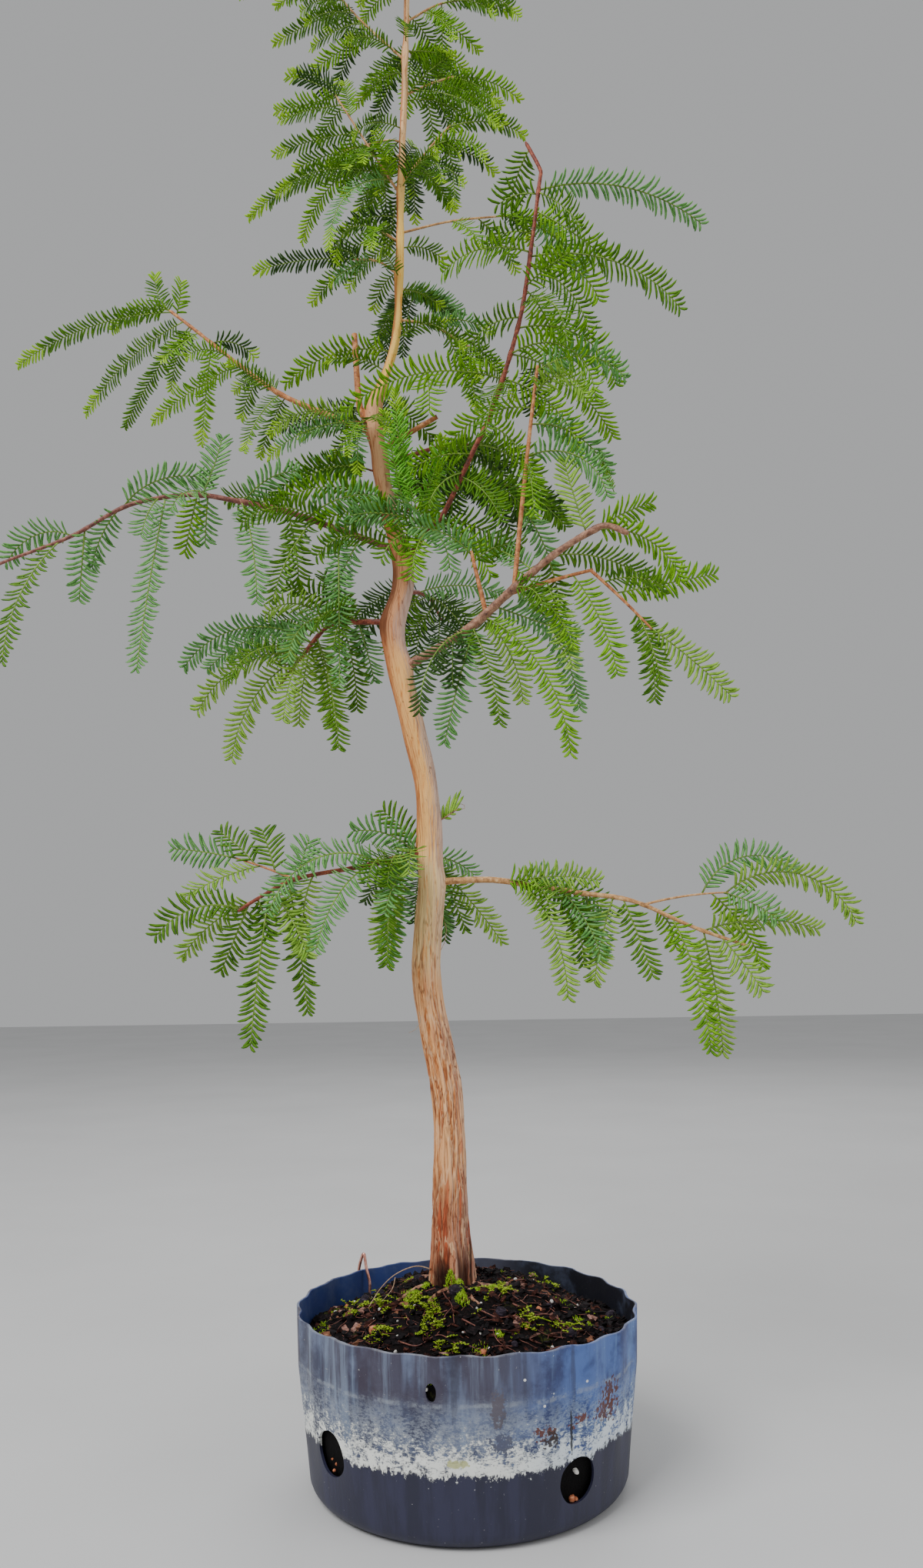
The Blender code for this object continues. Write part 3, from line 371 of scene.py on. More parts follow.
LIMBS = {
    "right_low": (483, 350, 72, (8, 3),
        [(0, 0), (46, 1), (73, -2), (127, -12), (161, -17), (184, -24), (226, -44), (269, -60)],
        [(78, 300, -20, 125, 68), (118, 300, -50, 68, 35), (135, 60, -45, 66, 40),
         (168, 320, -65, 70, 5), (160, 230, -55, 78, 20), (212, 310, -58, 115, 28),
         (240, 50, -66, 105, 20), (255, 330, -48, 55, 10), (240, 352, 20, 95, 40),
         (186, 350, 14, 72, 14,
          [(50, 20, 62, 110, 100), (70, 350, 42, 125, 112), (68, 325, -14, 52, 28),
           (58, 20, -35, 78, 35)])]),
    "left_low": (511, 205, 30, (7, 3),
        [(0, 0), (62, -15), (122, -27), (155, -44), (171, -54)],
        [(178, 200, 20, 75, 75), (170, 150, -62, 60, 0), (162, 35, -60, 32, 20),
         (150, 220, -80, 125, 5), (132, 30, -78, 108, 5), (148, 320, -40, 70, 20),
         (50, 215, 25, 125, 95), (40, 238, -5, 132, 65), (36, 262, -60, 96, 25),
         (124, 60, 70, 36, 10),
         (126, 160, 22, 60, 5,
          [(20, 125, 60, 45, 10), (40, 150, 45, 50, 15), (58, 165, 15, 62, 10),
           (35, 215, -12, 72, 20)])]),
    "back_low": (503, 96, 30, (6, 3),
        [(0, 0), (40, 6), (90, 2), (130, -14)],
        [(34, 345, 0, 48, 45), (36, 318, -68, 70, 8), (40, 332, -50, 78, 20), (44, 350, -42, 104, 14),
         (90, 135, 10, 95, 60), (112, 98, 5, 95, 70), (130, 85, -20, 90, 40)]),
    "left_inner": (716, 165, 34, (7, 3),
        [(0, 0), (32, 3), (62, 2), (90, -26), (110, -50)],
        [(85, 190, 35, 130, 95), (85, 148, 30, 137, 65), (97, 212, 0, 124, 65),
         (97, 228, 15, 100, 80), (92, 255, -30, 95, 50), (100, 200, -30, 120, 55),
         (78, 300, -52, 122, 28), (79, 60, -60, 82, 25), (50, 75, -35, 86, 50),
         (46, 225, 14, 90, 100), (40, 140, 60, 65, 10)]),
    "left_mid": (784, 188, 55, (8, 3),
        [(0, 0), (56, 19), (106, 35), (156, 44), (183, 47), (214, 43), (248, 32), (291, 4),
         (346, -21), (368, -34)],
        [(390, 185, -35, 65, 20), (307, 165, 30, 75, 90), (318, 215, -50, 125, 38),
         (294, 120, -75, 62, 5), (217, 235, -78, 165, 5), (189, 130, -60, 52, 10),
         (150, 300, -50, 115, 35), (108, 60, -62, 75, 30), (60, 280, -80, 150, 5),
         (256, 20, 62, 92, 75), (185, 30, 68, 60, -10), (148, 335, 48, 62, 60),
         (90, 340, 35, 70, 50), (120, 150, 40, 62, 40)]),
    "right_mid": (674, 335, 58, (11, 6),
        [(0, 0), (12, 2), (61, 22), (84, 36), (112, 56), (151, 81), (185, 96), (199, 98), (216, 88)],
        [(72, 225, -20, 104, 70), (84, 200, -70, 112, 8), (78, 300, -50, 104, 30),
         (92, 325, -30, 160, 55), (105, 30, -10, 88, 0), (130, 50, -15, 137, 60),
         (171, 20, 15, 112, 55), (212, 350, 5, 92, 80), (214, 10, 35, 55, 15),
         (205, 150, 72, 70, -5), (150, 130, 42, 120, 30),
         (120, 350, 15, 76, 5,
          [(35, 300, -60, 90, 15), (58, 330, -55, 100, 25),
           (74, 345, -46, 75, 5, [(30, 15, 14, 95, 0), (72, 345, -40, 90, 10), (58, 330, -66, 62, 15)])]),
         (95, 180, 78, 58, 0, [(54, 200, 50, 60, 60), (48, 20, 50, 52, 50)]),
         (128, 0, 84, 205, 2,
          [(120, 330, 10, 100, 90), (150, 20, 15, 90, 80), (178, 300, 20, 90, 90),
           (200, 340, 30, 90, 90), (165, 170, 15, 85, 70), (203, 90, 30, 80, 70)])]),
    "back_mid": (742, 78, 40, (7, 3), [(0, 0), (50, 18), (110, 30), (160, 22)], 9),
    "left_high": (897, 175, 98, (8, 3),
        [(0, 0), (12, 9), (43, 24), (92, 49), (132, 81), (174, 118), (201, 141)],
        [(245, 150, 40, 52, -45), (238, 330, 72, 34, -20), (246, 172, 29, 66, 85),
         (244, 200, -12, 158, 35), (228, 218, -40, 152, 25), (220, 145, -27, 120, 25),
         (209, 228, -45, 60, 5), (192, 120, -72, 95, 5), (156, 205, -35, 106, 15),
         (192, 20, 30, 45, 80), (107, 130, 55, 94, 65), (104, 238, -42, 90, 30)]),
    "back_high": (868, 52, 40, (7, 3), [(0, 0), (50, 30), (110, 62), (150, 72)], 9),
    "back_right": (835, 25, 40, (6, 3), [(0, 0), (45, 22), (95, 36), (140, 34)], 9),
    "right_high": (771, 340, 188, (6, 4),
        [(0, 0), (28, 32), (41, 44), (70, 98), (86, 128), (99, 161), (112, 200), (122, 241),
         (138, 344), (139, 357), (126, 388)],
        [(372, 5, 20, 160, 60), (370, 325, -38, 70, 25), (368, 165, 25, 40, 60),
         (312, 210, 0, 108, 55), (298, 20, 40, 85, 110), (308, 342, 0, 160, 60),
         (191, 192, 14, 158, 62), (215, 320, 11, 130, 100), (215, 42, 15, 150, 60),
         (240, 345, 5, 120, 85), (262, 300, -5, 100, 80), (192, 350, -20, 110, 60),
         (276, 62, 10, 100, 70)]),
    "front_tuft": (911, 222, 0, (3, 2), [(0, 0), (26, -6)],
        [(24, 220, -16, 108, 34), (12, 188, -5, 60, 20), (18, 262, -30, 68, 40)]),
    "back_tuft": (925, 122, 0, (3, 2), [(0, 0), (28, 12)],
        [(28, 145, 10, 100, 10), (20, 110, 30, 80, 40), (14, 62, 20, 70, 40)]),
    "upright_tuft": (808, 317, 0, (3, 2), [(0, 0), (20, 12), (34, 10)],
        [(22, 221, 80, 112, -6), (38, 0, 62, 70, -20), (34, 150, 72, 60, 0)]),
    "front_tuft_low": (817, 270, 0, (2.6, 2), [(0, 0), (14, 2)],
        [(13, 186, 12, 64, 45), (13, 340, -6, 48, 20), (12, 318, -50, 68, 22), (13, 172, 38, 50, 10)]),
    "left_tuft": (862, 192, 0, (2.6, 2), [(0, 0), (14, 3)],
        [(13, 190, 12, 64, 50), (13, 160, 30, 48, 30)]),
    "trunk_twiglet": (534, 350, 0, (2.0, 1.2), [(0, 0), (12, 4), (20, 9), (27, 13)], []),
    "leader_right_low": (1012, 350, 0, (3, 2), [(0, 0), (33, -10), (72, -38)],
        [(20, 325, -20, 70, 40), (45, 15, -10, 70, 40), (80, 345, -40, 70, 30), (60, 305, -40, 68, 30)]),
    "leader_left_low": (1056, 185, 0, (3, 2), [(0, 0), (20, 14), (47, 15)],
        [(46, 190, 0, 95, 25), (30, 215, -30, 60, 20), (35, 150, 0, 70, 40)]),
    "leader_back_low": (1040, 80, 0, (3, 2), [(0, 0), (30, 20), (70, 34)], 5),
    "leader_left_a": (1090, 212, 0, (2.6, 2), [(0, 0), (22, 6)],
        [(20, 215, 10, 80, 110), (12, 170, 0, 60, 40), (14, 248, -10, 56, 60)]),
    "leader_right_a": (1100, 352, 0, (3, 2), [(0, 0), (49, 7), (104, 7)],
        [(50, 318, -30, 60, 40), (75, 35, -20, 60, 40), (103, 350, -10, 55, 30), (100, 308, -35, 55, 30)]),
    "leader_left_b": (1139, 180, 0, (3, 2), [(0, 0), (28, 48), (63, 108)],
        [(28, 182, 10, 145, 60), (24, 205, 5, 125, 58), (50, 150, 5, 115, 80), (20, 222, -20, 132, 70),
         (122, 182, -15, 60, 0), (120, 200, 40, 52, 55), (118, 158, 72, 72, 60), (112, 212, -25, 76, 15),
         (96, 110, 72, 62, 10), (78, 188, -10, 86, 20), (52, 240, -30, 60, 30)]),
    "leader_right_b": (1153, 0, 0, (3, 2), [(0, 0), (30, 39), (48, 60)],
        [(45, 328, 10, 78, 80), (25, 318, -20, 80, 40), (49, 22, 20, 70, 60), (74, 350, 15, 80, 60),
         (22, 48, 10, 60, 60)]),
    "leader_back_mid": (1178, 100, 0, (3, 2), [(0, 0), (30, 26), (60, 44)], 5),
    "leader_left_c": (1196, 172, 0, (2.4, 1.8), [(0, 0), (16, 4), (60, -2)],
        [(22, 140, -15, 62, 35), (58, 178, -12, 50, 15), (40, 215, -30, 56, 30)]),
    "leader_right_c": (1246, 0, 0, (3, 2), [(0, 0), (28, 13), (50, 20)],
        [(12, 332, -20, 116, 38), (26, 28, 35, 85, 60), (34, 350, -20, 88, 40), (52, 2, 5, 70, 50),
         (48, 318, -30, 84, 30)]),
    "leader_left_d": (1283, 180, 0, (3, 2), [(0, 0), (40, 41), (61, 67), (78, 88)],
        [(78, 186, -20, 85, 20), (60, 208, -30, 72, 25), (116, 182, 20, 88, 60), (104, 148, 40, 80, 50),
         (40, 160, 0, 72, 30), (90, 222, -20, 66, 40)]),
    "leader_back_high": (1292, 85, 0, (2.6, 2), [(0, 0), (26, 24), (52, 40)], 5),
    "leader_right_d": (1325, 5, 0, (2.8, 2), [(0, 0), (30, 20), (55, 28)],
        [(58, 350, 15, 72, 80), (20, 312, -35, 76, 35), (26, 30, -10, 62, 20), (42, 328, -10, 75, 50),
         (56, 22, 30, 62, 50)]),
    "leader_left_e": (1362, 200, 0, (2.4, 1.8), [(0, 0), (24, 26), (44, 48)], 4),
    "leader_right_e": (1380, 335, 0, (2.4, 1.8), [(0, 0), (22, 26), (40, 46)], 4),
}
print(len(LIMBS), "limbs in the plan")

# %% [markdown]
# A route is a smooth line that can be asked for the point at a distance along it. The curve passes
# through its few given points, so that a limb keeps the bends that were measured, and the trunk is
# read the same way, with its thickness as a fourth number.

# %% Routes


def heading_vector(heading, pitch=0.0):
    """The unit vector of a compass heading and a pitch, both in degrees."""
    h, p = math.radians(heading), math.radians(pitch)
    return Vector((math.cos(p) * math.cos(h), math.cos(p) * math.sin(h), math.sin(p)))


def smooth(points, count):
    """Read count + 1 points off a smooth curve through the given ones, evenly by parameter."""
    padded = [points[0] * 2 - points[1]] + list(points) + [points[-1] * 2 - points[-2]]
    out = []
    for k in range(count + 1):
        t = k * (len(points) - 1) / count
        i = min(int(t), len(points) - 2)
        u = t - i
        a, b, c, d = padded[i:i + 4]
        out.append(0.5 * ((2 * b) + (c - a) * u + (2 * a - 5 * b + 4 * c - d) * u * u
                          + (3 * b - a - 3 * c + d) * u ** 3))
    return out


class Route:
    """A smooth line that can be asked for the point at a distance along it."""

    def __init__(self, points):
        self.points = smooth(points, 8 * (len(points) - 1)) if len(points) > 2 else points
        self.marks = [0.0]
        for a, b in zip(self.points, self.points[1:]):
            self.marks.append(self.marks[-1] + (b - a).length)
        self.length = self.marks[-1]

    def at(self, distance):
        distance = min(max(distance, 0.0), self.length)
        for i in range(1, len(self.marks)):
            if distance <= self.marks[i] + 1e-9:
                break
        share = (distance - self.marks[i - 1]) / (self.marks[i] - self.marks[i - 1])
        return self.points[i - 1].lerp(self.points[i], share)

    def sampled(self, step):
        count = max(2, round(self.length / step))
        return [self.at(self.length * k / count) for k in range(count + 1)]


TRUNK_ROWS = smooth([Vector((z, x, y, d)) for z, x, y, d in TRUNK], 6 * (len(TRUNK) - 1))


def trunk_at(height):
    """The trunk's centre and radius at a height."""
    for low, high in zip(TRUNK_ROWS, TRUNK_ROWS[1:]):
        if height <= high[0] * MM or high is TRUNK_ROWS[-1]:
            row = low.lerp(high, min(1.0, (height / MM - low[0]) / (high[0] - low[0])))
            return Vector((row[1], row[2], height / MM)) * MM, row[3] / 2 * MM


def limb_route(name):
    """A limb's centre line, from the middle of the trunk outwards."""
    height, heading, bare, thick, route, shoots = LIMBS[name]
    foot = trunk_at(height * MM)[0]
    out = heading_vector(heading)
    return Route([foot + (out * run + UP * rise) * MM for run, rise in route])


def shoot_route(start, shoot, step=12 * MM):
    """A shoot's centre line: it leaves at its pitch and bends down by its sag."""
    heading, pitch, length, sag = shoot[1:5]
    count = max(3, round(length * MM / step))
    points = [start]
    for k in range(count):
        lean = max(pitch - sag * (k + 0.5) / count, -88.0)
        points.append(points[-1] + heading_vector(heading, lean) * (length * MM / count))
    return Route(points)


def ruled_shoots(name, count, rng):
    """Shoots placed by rule: they alternate along the stem, and the far ones are shorter."""
    height, heading, bare = LIMBS[name][:3]
    reach = limb_route(name).length / MM
    rows = []
    for k in range(count):
        share = (k + 0.6) / count
        side = (-1) ** k * rng.uniform(25, 75) * (1 - 0.55 * share)
        length = rng.uniform(78, 108) * (1 - 0.25 * share)
        along = max(bare + 5, 12) + (reach - max(bare + 5, 12)) * share
        rows.append((along, heading + side, rng.uniform(-20, 30), length, rng.uniform(35, 75)))
    return rows


def flat_side(place, heading, pitch, rng):
    """The direction that the flat of a spray faces: up or down, turned towards the open side."""
    open_side = (OPEN_SIDE - place).normalized()
    h = heading_vector(heading)
    natural = UP * math.cos(math.radians(pitch)) - h * math.sin(math.radians(pitch))
    natural *= math.copysign(0.45, natural.dot(open_side))
    wobble = Vector((rng.uniform(-0.35, 0.35), rng.uniform(-0.2, 0.2), rng.uniform(-0.3, 0.3)))
    return (natural + open_side * 0.9 + wobble).normalized()


print("trunk at half height:", [round(value, 3) for value in trunk_at(0.7)[0]])

# %% [markdown]
# Bald cypress bark is thin and fibrous. It peels in long narrow strips that lie over each other,
# orange-tan where they are fresh and darker with age, with cracks between. The relief has to be real
# geometry, because it shows along the trunk's edge. A cell pattern, drawn out along the trunk, gives
# the strips: the radius drops at a cell's border, and each strip stands at a height of its own. The
# relief is deep at the foot and almost gone in the leader, and collars swell where a bough leaves.
# The crack and the strip's own number are also written on each point, for the finish to colour by.

# %% Trunk mesh
TRUNK_PARTS = [(-1.0, 0.955, 150, 1.5 * MM), (0.945, 2.0, 28, 2.6 * MM)]
SUNK = 7 * MM
FLARE_HEIGHT = 30 * MM
FLARE_DEPTH = 3.0 * MM
FLARE_ROOTS = 5
COLLAR_REACH = 11 * MM
STRIPS_AROUND = 36
STRIPS_UP = 15
STRIP_LEAN = 1.3
CRACK_WIDTH = 0.26


def bark_depth(height):
    """How deep the bark's relief is at a height, in metres."""
    share = min(1.0, max(0.0, (height - 0.14) / 0.60))
    return (1.7 * (1 - share) ** 1.5 + 0.25) * MM


def around(angle, height, across, along, seed):
    """A noise value on the trunk: across and along say how fine it is each way."""
    return noise.noise(Vector((math.cos(angle) * across, math.sin(angle) * across, height * along + seed)))


def bark_strip(angle, height):
    """Where a point lies in its strip, 0 in the crack and 1 on top, and the strip's own number."""
    turn = angle + STRIP_LEAN * height + 0.12 * around(angle, height, 1.5, 34.0, 5.0)
    turn += 0.035 * around(angle, height, 6.0, 90.0, 2.0)
    radius = STRIPS_AROUND / math.tau
    spot = Vector((math.cos(turn) * radius, math.sin(turn) * radius, height * STRIPS_UP))
    reach, cells = noise.voronoi(spot)
    own = 0.5 + 0.5 * math.sin(cells[0].x * 37.0 + cells[0].y * 17.0 + cells[0].z * 23.0)
    return min(1.0, (reach[1] - reach[0]) / CRACK_WIDTH), own


collars = []
for name, row in LIMBS.items():
    limb = limb_route(name)
    foot, radius = trunk_at(row[0] * MM)
    way = limb.at(radius + 2 * MM) - foot
    collars.append((foot.z + way.z, math.atan2(way.y, way.x), row[3][0] / 2 * MM))

bottom, top = TRUNK[0][0] * MM, TRUNK[-1][0] * MM


def trunk_ring(height, sides):
    """One ring of the trunk, as its points with what the finish needs to know of each."""
    centre, radius = trunk_at(max(height, bottom))
    foot_share = max(0.0, 1.0 - max(0.0, height - bottom) / FLARE_HEIGHT)
    near_collars = [collar for collar in collars if abs(height - collar[0]) < 3 * COLLAR_REACH]
    ring = []
    for k in range(sides):
        angle = math.tau * k / sides
        top_share, own = bark_strip(angle, height)
        relief = top_share * (0.55 + 0.45 * own) + 0.25 * around(angle, height, 9.0, 40.0, 0.0)
        reach = radius + bark_depth(height) * (relief - 0.65)
        valley = 0.5 - 0.5 * math.cos(FLARE_ROOTS * angle + 0.8 + 1.6 * around(angle, 0.0, 1.2, 0.0, 3.0))
        reach += FLARE_DEPTH * (0.5 - valley) * 2 * foot_share ** 1.5
        # In the root valleys the strip share drops, which is where the finish paints shade at the foot.
        top_share *= 1 - min(1.0, 1.2 * foot_share) * max(0.0, valley * 3.2 - 2.2)
        reach += 1.3 * MM * around(angle, height, 1.0, 24.0, 0.0)
        for rise, bearing, thick in near_collars:
            turn = (angle - bearing + math.pi) % math.tau - math.pi
            near = ((height - rise) / COLLAR_REACH) ** 2 + (turn * radius / (COLLAR_REACH * 0.6)) ** 2
            reach += thick * 0.5 * math.exp(-near)
        ring.append((centre.x + reach * math.cos(angle), centre.y + reach * math.sin(angle), height,
                     top_share, own))
    return ring


trunk_store = Store()
point_open, point_own = [], []
for low, high, sides, step in TRUNK_PARTS:
    low, high = max(low, bottom - SUNK), min(high, top)
    count = round((high - low) / step)
    rings = np.array([trunk_ring(low + (high - low) * i / count, sides) for i in range(count + 1)])
    add_rings(trunk_store, rings[:, :, :3])
    point_open += rings[:, :, 3].ravel().tolist() + [1.0, 1.0]
    point_own += rings[:, :, 4].ravel().tolist() + [0.5, 0.5]
print("trunk points:", len(point_open), "share of strip:", round(sum(point_open) / len(point_open), 2))

# %% [markdown]
# The bark's colour follows its strips, each a little paler or redder than the next, and darkens in the
# cracks. Height blends the ages of bark: red-brown and scaly at the foot, orange-tan above it, smooth
# and pale up to the second bough, ruddy in the bends of the crown and golden in the leader. Two bands,
# the pale one and one high in the crown, are also lightened as painted light where foliage shades them.
# The right side of the trunk carries a painted greyish-pink highlight and the left edge a painted shade
# of deep orange, so the way that the surface faces picks a cooler or a warmer tint. Painted shade also
# darkens the inside of the bend in the crown, the root valleys at the foot, and a hollow and a groove there.

# %% Bark finish
BARK_AGES_AND_LIGHT = [
    (0.00, 0.01, tint(108, 50, 32), tint(152, 88, 60), tint(190, 128, 94)),
    (0.19, 0.26, tint(154, 84, 46), tint(214, 138, 82), tint(248, 188, 130)),
    # Painted light: this band is lightened where the low foliage shades the trunk.
    (0.39, 0.43, tint(202, 128, 74), tint(252, 184, 114), tint(255, 218, 156)),
    (0.49, 0.52, tint(182, 106, 50), tint(230, 154, 80), tint(250, 192, 116)),
    (0.66, 0.71, tint(112, 58, 38), tint(168, 102, 64), tint(212, 152, 108)),
    # Painted light: this band is lightened where the crown shades the trunk.
    (0.80, 0.85, tint(134, 76, 54), tint(196, 130, 90), tint(230, 176, 132)),
    (0.932, 0.955, tint(190, 120, 44), tint(242, 170, 64), tint(252, 206, 110)),
    (1.10, 1.22, tint(164, 106, 66), tint(216, 156, 100), tint(240, 194, 144)),
]


def bark_finish():
    bark = Finish("bark", 0.8, shine=DULL)
    opened = bark.node("ShaderNodeAttribute", {"attribute_name": "opened"}, {}, "Fac")
    own = bark.node("ShaderNodeAttribute", {"attribute_name": "own"}, {}, "Fac")
    strips = bark.noise(290.0, 6.0, (1.0, 1.0, 0.14), 0.68)
    hair = bark.noise(760.0, 4.0, (1.0, 1.0, 0.08), 0.6)
    strands = bark.noise(110.0, 3.0, (1.0, 1.0, 0.20), 0.5) - 0.5
    gaps = bark.noise(120.0, 3.0, (1.0, 1.2, 0.16), 0.5) - 0.52
    dots = bark.noise(300.0, 3.0, (1.0, 1.0, 0.5))
    patches = bark.noise(30.0, 4.0, (1.0, 1.0, 0.35))
    height = bark.axis("Z")
    facing = bark.node("ShaderNodeTexCoord", output="Normal")
    sideways = bark.node("ShaderNodeSeparateXYZ", {}, {0: facing}, "X")
    low_share = 1 - height.band(0.32, 0.62)
    body = strips * 0.55 + hair * 0.25 + (own * 0.20 + 0.10) * low_share + 0.20 * (1 - low_share)
    bark_colour = None
    for low, high, dark, middle, light in BARK_AGES_AND_LIGHT:
        here = bark.ramp(body, [(0.44, dark), (0.515, middle), (0.59, light)])
        bark_colour = here if bark_colour is None else bark.mix(height.band(low, high), bark_colour, here)
    # Painted highlight: a cool greyish-pink sheen on the side that faces right.
    painted_sheen_tint = bark.ramp(body, [(0.40, tint(142, 108, 98)), (0.66, tint(222, 190, 176))])
    painted_sheen_mask = sideways.band(0.10, 0.80) * patches.band(0.30, 0.52) * (1 - height.band(0.80, 0.88))
    bark_colour = bark.mix(painted_sheen_mask * (0.52 + 0.42 * height.band(0.47, 0.52)), bark_colour, painted_sheen_tint)
    # Painted shade: the edge that faces left turns a deep orange.
    painted_shade_warm = bark.ramp(body, [(0.40, tint(112, 52, 32)), (0.66, tint(190, 112, 68))])
    bark_colour = bark.mix((1 - sideways.band(-0.95, -0.38)) * (0.50 + 0.35 * height.band(0.48, 0.53)), bark_colour, painted_shade_warm)
    bark_colour = bark.mix((1 - sideways.band(-0.80, 0.10)) * height.band(0.50, 0.56) * 0.45, bark_colour, painted_shade_warm)
    # Painted shade on the left side, inside the bend in the crown.
    painted_bend_shade = height.band(0.685, 0.71) * (1 - height.band(0.76, 0.79))
    bark_colour = bark.mix((1 - sideways.band(-0.60, 0.10)) * painted_bend_shade * 0.80, bark_colour, tint(84, 46, 26))
    red = own.band(0.74, 0.88) * (1 - height.band(0.32, 0.50)) * patches.band(0.42, 0.56)
    bark_colour = bark.mix(red * 0.8, bark_colour, tint(182, 78, 42))
    pale = (1 - abs(strands).band(0.008, 0.030)) * low_share
    bark_colour = bark.mix(pale * 0.55, bark_colour, tint(244, 202, 158))
    dark_gap = (1 - abs(gaps).band(0.006, 0.026)) * patches.band(0.44, 0.54) * low_share
    bark_colour = bark.mix(dark_gap * 0.7, bark_colour, tint(112, 50, 32))
    crack = (1 - opened.band(0.0, 0.75)) * (0.10 + 0.36 * (1 - height.band(0.20, 0.55)))
    bark_colour = bark.mix(crack * (1 - height.band(0.60, 0.75)), bark_colour, tint(96, 48, 32))
    # Painted shade in the root valleys at the foot, next to the soil.
    foot = (1 - height.band(0.155, 0.185)) * (1 - opened.band(0.1, 0.8))
    bark_colour = bark.mix(foot * 0.75, bark_colour, tint(34, 18, 16))
    # Painted shade in a hollow at the left front of the foot.
    across = bark.axis("X")
    painted_hollow_shade = across.band(-0.029, -0.026) * (1 - across.band(-0.017, -0.013)) * (1 - height.band(0.158, 0.180))
    bark_colour = bark.mix(painted_hollow_shade * 0.85, bark_colour, tint(44, 22, 18))
    # Painted shade in a groove down the front of the foot.
    painted_groove_shade = 1 - abs(across - 0.0036 + (patches - 0.5) * 0.004).band(0.0005, 0.0016)
    in_front = 1 - bark.axis("Y").band(-0.006, 0.0)
    bark_colour = bark.mix(painted_groove_shade * in_front * (1 - height.band(0.182, 0.196)) * 0.85, bark_colour, tint(28, 16, 16))
    lichen = patches.band(0.60, 0.66) * dots.band(0.44, 0.56) * height.band(0.62, 0.72)
    bark_colour = bark.mix(lichen * (1 - height.band(0.82, 0.88)) * 0.35, bark_colour, tint(196, 170, 138))
    specks = dots.band(0.66, 0.70) * height.band(0.45, 0.6) * 0.5
    bark.set("Base Color", bark.mix(specks, bark_colour, tint(84, 52, 38)))
    bark.set("Roughness", 0.72 + 0.2 * strips)
    return bark.bump(strips * 0.6 + hair * 0.4, 0.0010, 0.7)


trunk_bark = trunk_store.piece("trunk_bark", bark_finish(), "bark", ("trunk",))
for label, values in (("opened", point_open), ("own", point_own)):
    trunk_bark.data.attributes.new(label, "FLOAT", "POINT").data.foreach_set("value", values)

# %% [markdown]
# A bough is a tube too, but a lumpy one: it thickens at every node where a twig leaves, and its bark
# has fine lengthwise lines. It starts in the middle of the trunk, so no seam shows at the collar, and
# runs on through its foliage to the last shoot, thinning all the way.

# %% Boughs
BOUGH_SIDES = 12
LIMB_SLIM = 0.82


def limb_radius(name, mark, whole):
    thick, thin = LIMBS[name][3]
    return (thick + (thin - thick) * min(1.0, mark / whole) ** 0.8) / 2 * LIMB_SLIM * MM


def node_marks(name):
    shoots = LIMBS[name][5]
    if isinstance(shoots, int):
        return []
    return [shoot[0] * MM for shoot in shoots]


def add_limb(store, name, sides, step):
    """A whole limb with a swelling at each node and a fine relief."""
    route = limb_route(name)
    count = max(4, round(route.length / step))
    marks = [route.length * k / count for k in range(count + 1)]
    nodes = node_marks(name)
    radii = []
    for mark in marks:
        swell = sum(math.exp(-((mark - node) / (3.5 * MM)) ** 2) for node in nodes)
        base = limb_radius(name, mark, route.length)
        radii.append(base * (1 + 0.16 * min(1.5, swell)) * (1 + 0.05 * noise.noise(route.at(mark) * 160)))
    radii[-1] *= 0.6
    limb_rings = tube_rings([route.at(mark) for mark in marks], radii, sides)
    for ring in limb_rings:
        centre = ring.mean(0)
        for k in range(sides):
            spot = Vector(ring[k])
            ring[k] = centre + (ring[k] - centre) * (1 + 0.10 * noise.noise(spot * 420))
    add_rings(store, limb_rings)
    return route


def twig_finish(name, dark, body, light):
    """Thin bark: fine lines round and along the twig, with the body colour showing most."""
    finish = Finish(name, 0.6)
    flecks = finish.noise(240.0, 5.0)
    fine = finish.noise(900.0, 3.0)
    mixed = flecks * 0.7 + fine * 0.3
    finish.set("Base Color", finish.ramp(mixed, [(0.34, dark), (0.5, body), (0.66, light)]))
    finish.set("Roughness", 0.48 + 0.3 * flecks)
    return finish.bump(mixed, 0.0004, 0.6)


TWIG_BARKS = {
    "red_brown": twig_finish("bark_red_brown", tint(60, 20, 14), tint(130, 54, 34), tint(180, 102, 72)),
    "purple_brown": twig_finish("bark_purple_brown", tint(66, 32, 28), tint(126, 70, 58), tint(174, 120, 102)),
    "brown_tan": twig_finish("bark_brown_tan", tint(80, 48, 36), tint(146, 100, 76), tint(192, 148, 120)),
    "orange_tan": twig_finish("bark_orange_tan", tint(112, 56, 28), tint(188, 116, 64), tint(220, 164, 110)),
    "pale_tan": twig_finish("bark_pale_tan", tint(126, 84, 48), tint(190, 140, 86), tint(226, 186, 136)),
}
BARK_OF = {
    "left_mid": "purple_brown", "left_high": "orange_tan", "right_low": "pale_tan",
    "right_mid": "brown_tan", "trunk_twiglet": "brown_tan",
}
TWIG_BARK_OF = {"right_mid": "orange_tan", "left_low": "orange_tan"}


def bark_of(name):
    """The bark of a limb and its twigs: pale tan up the leader, red-brown if nothing else is said."""
    return "pale_tan" if name.startswith("leader") else BARK_OF.get(name, "red_brown")


for name, row in LIMBS.items():
    if row[2]:
        store = Store()
        add_limb(store, name, BOUGH_SIDES, 3.2 * MM)
        store.piece("limb_" + name, TWIG_BARKS[bark_of(name)], "twig_bark", ("bough_" + name,))

# %% [markdown]
# Two stubs show where branches were taken off. A pruned stub dries out and splits a little, and its
# end is a flat, paler disc of wood, slightly dished, so the last rings step in and back.

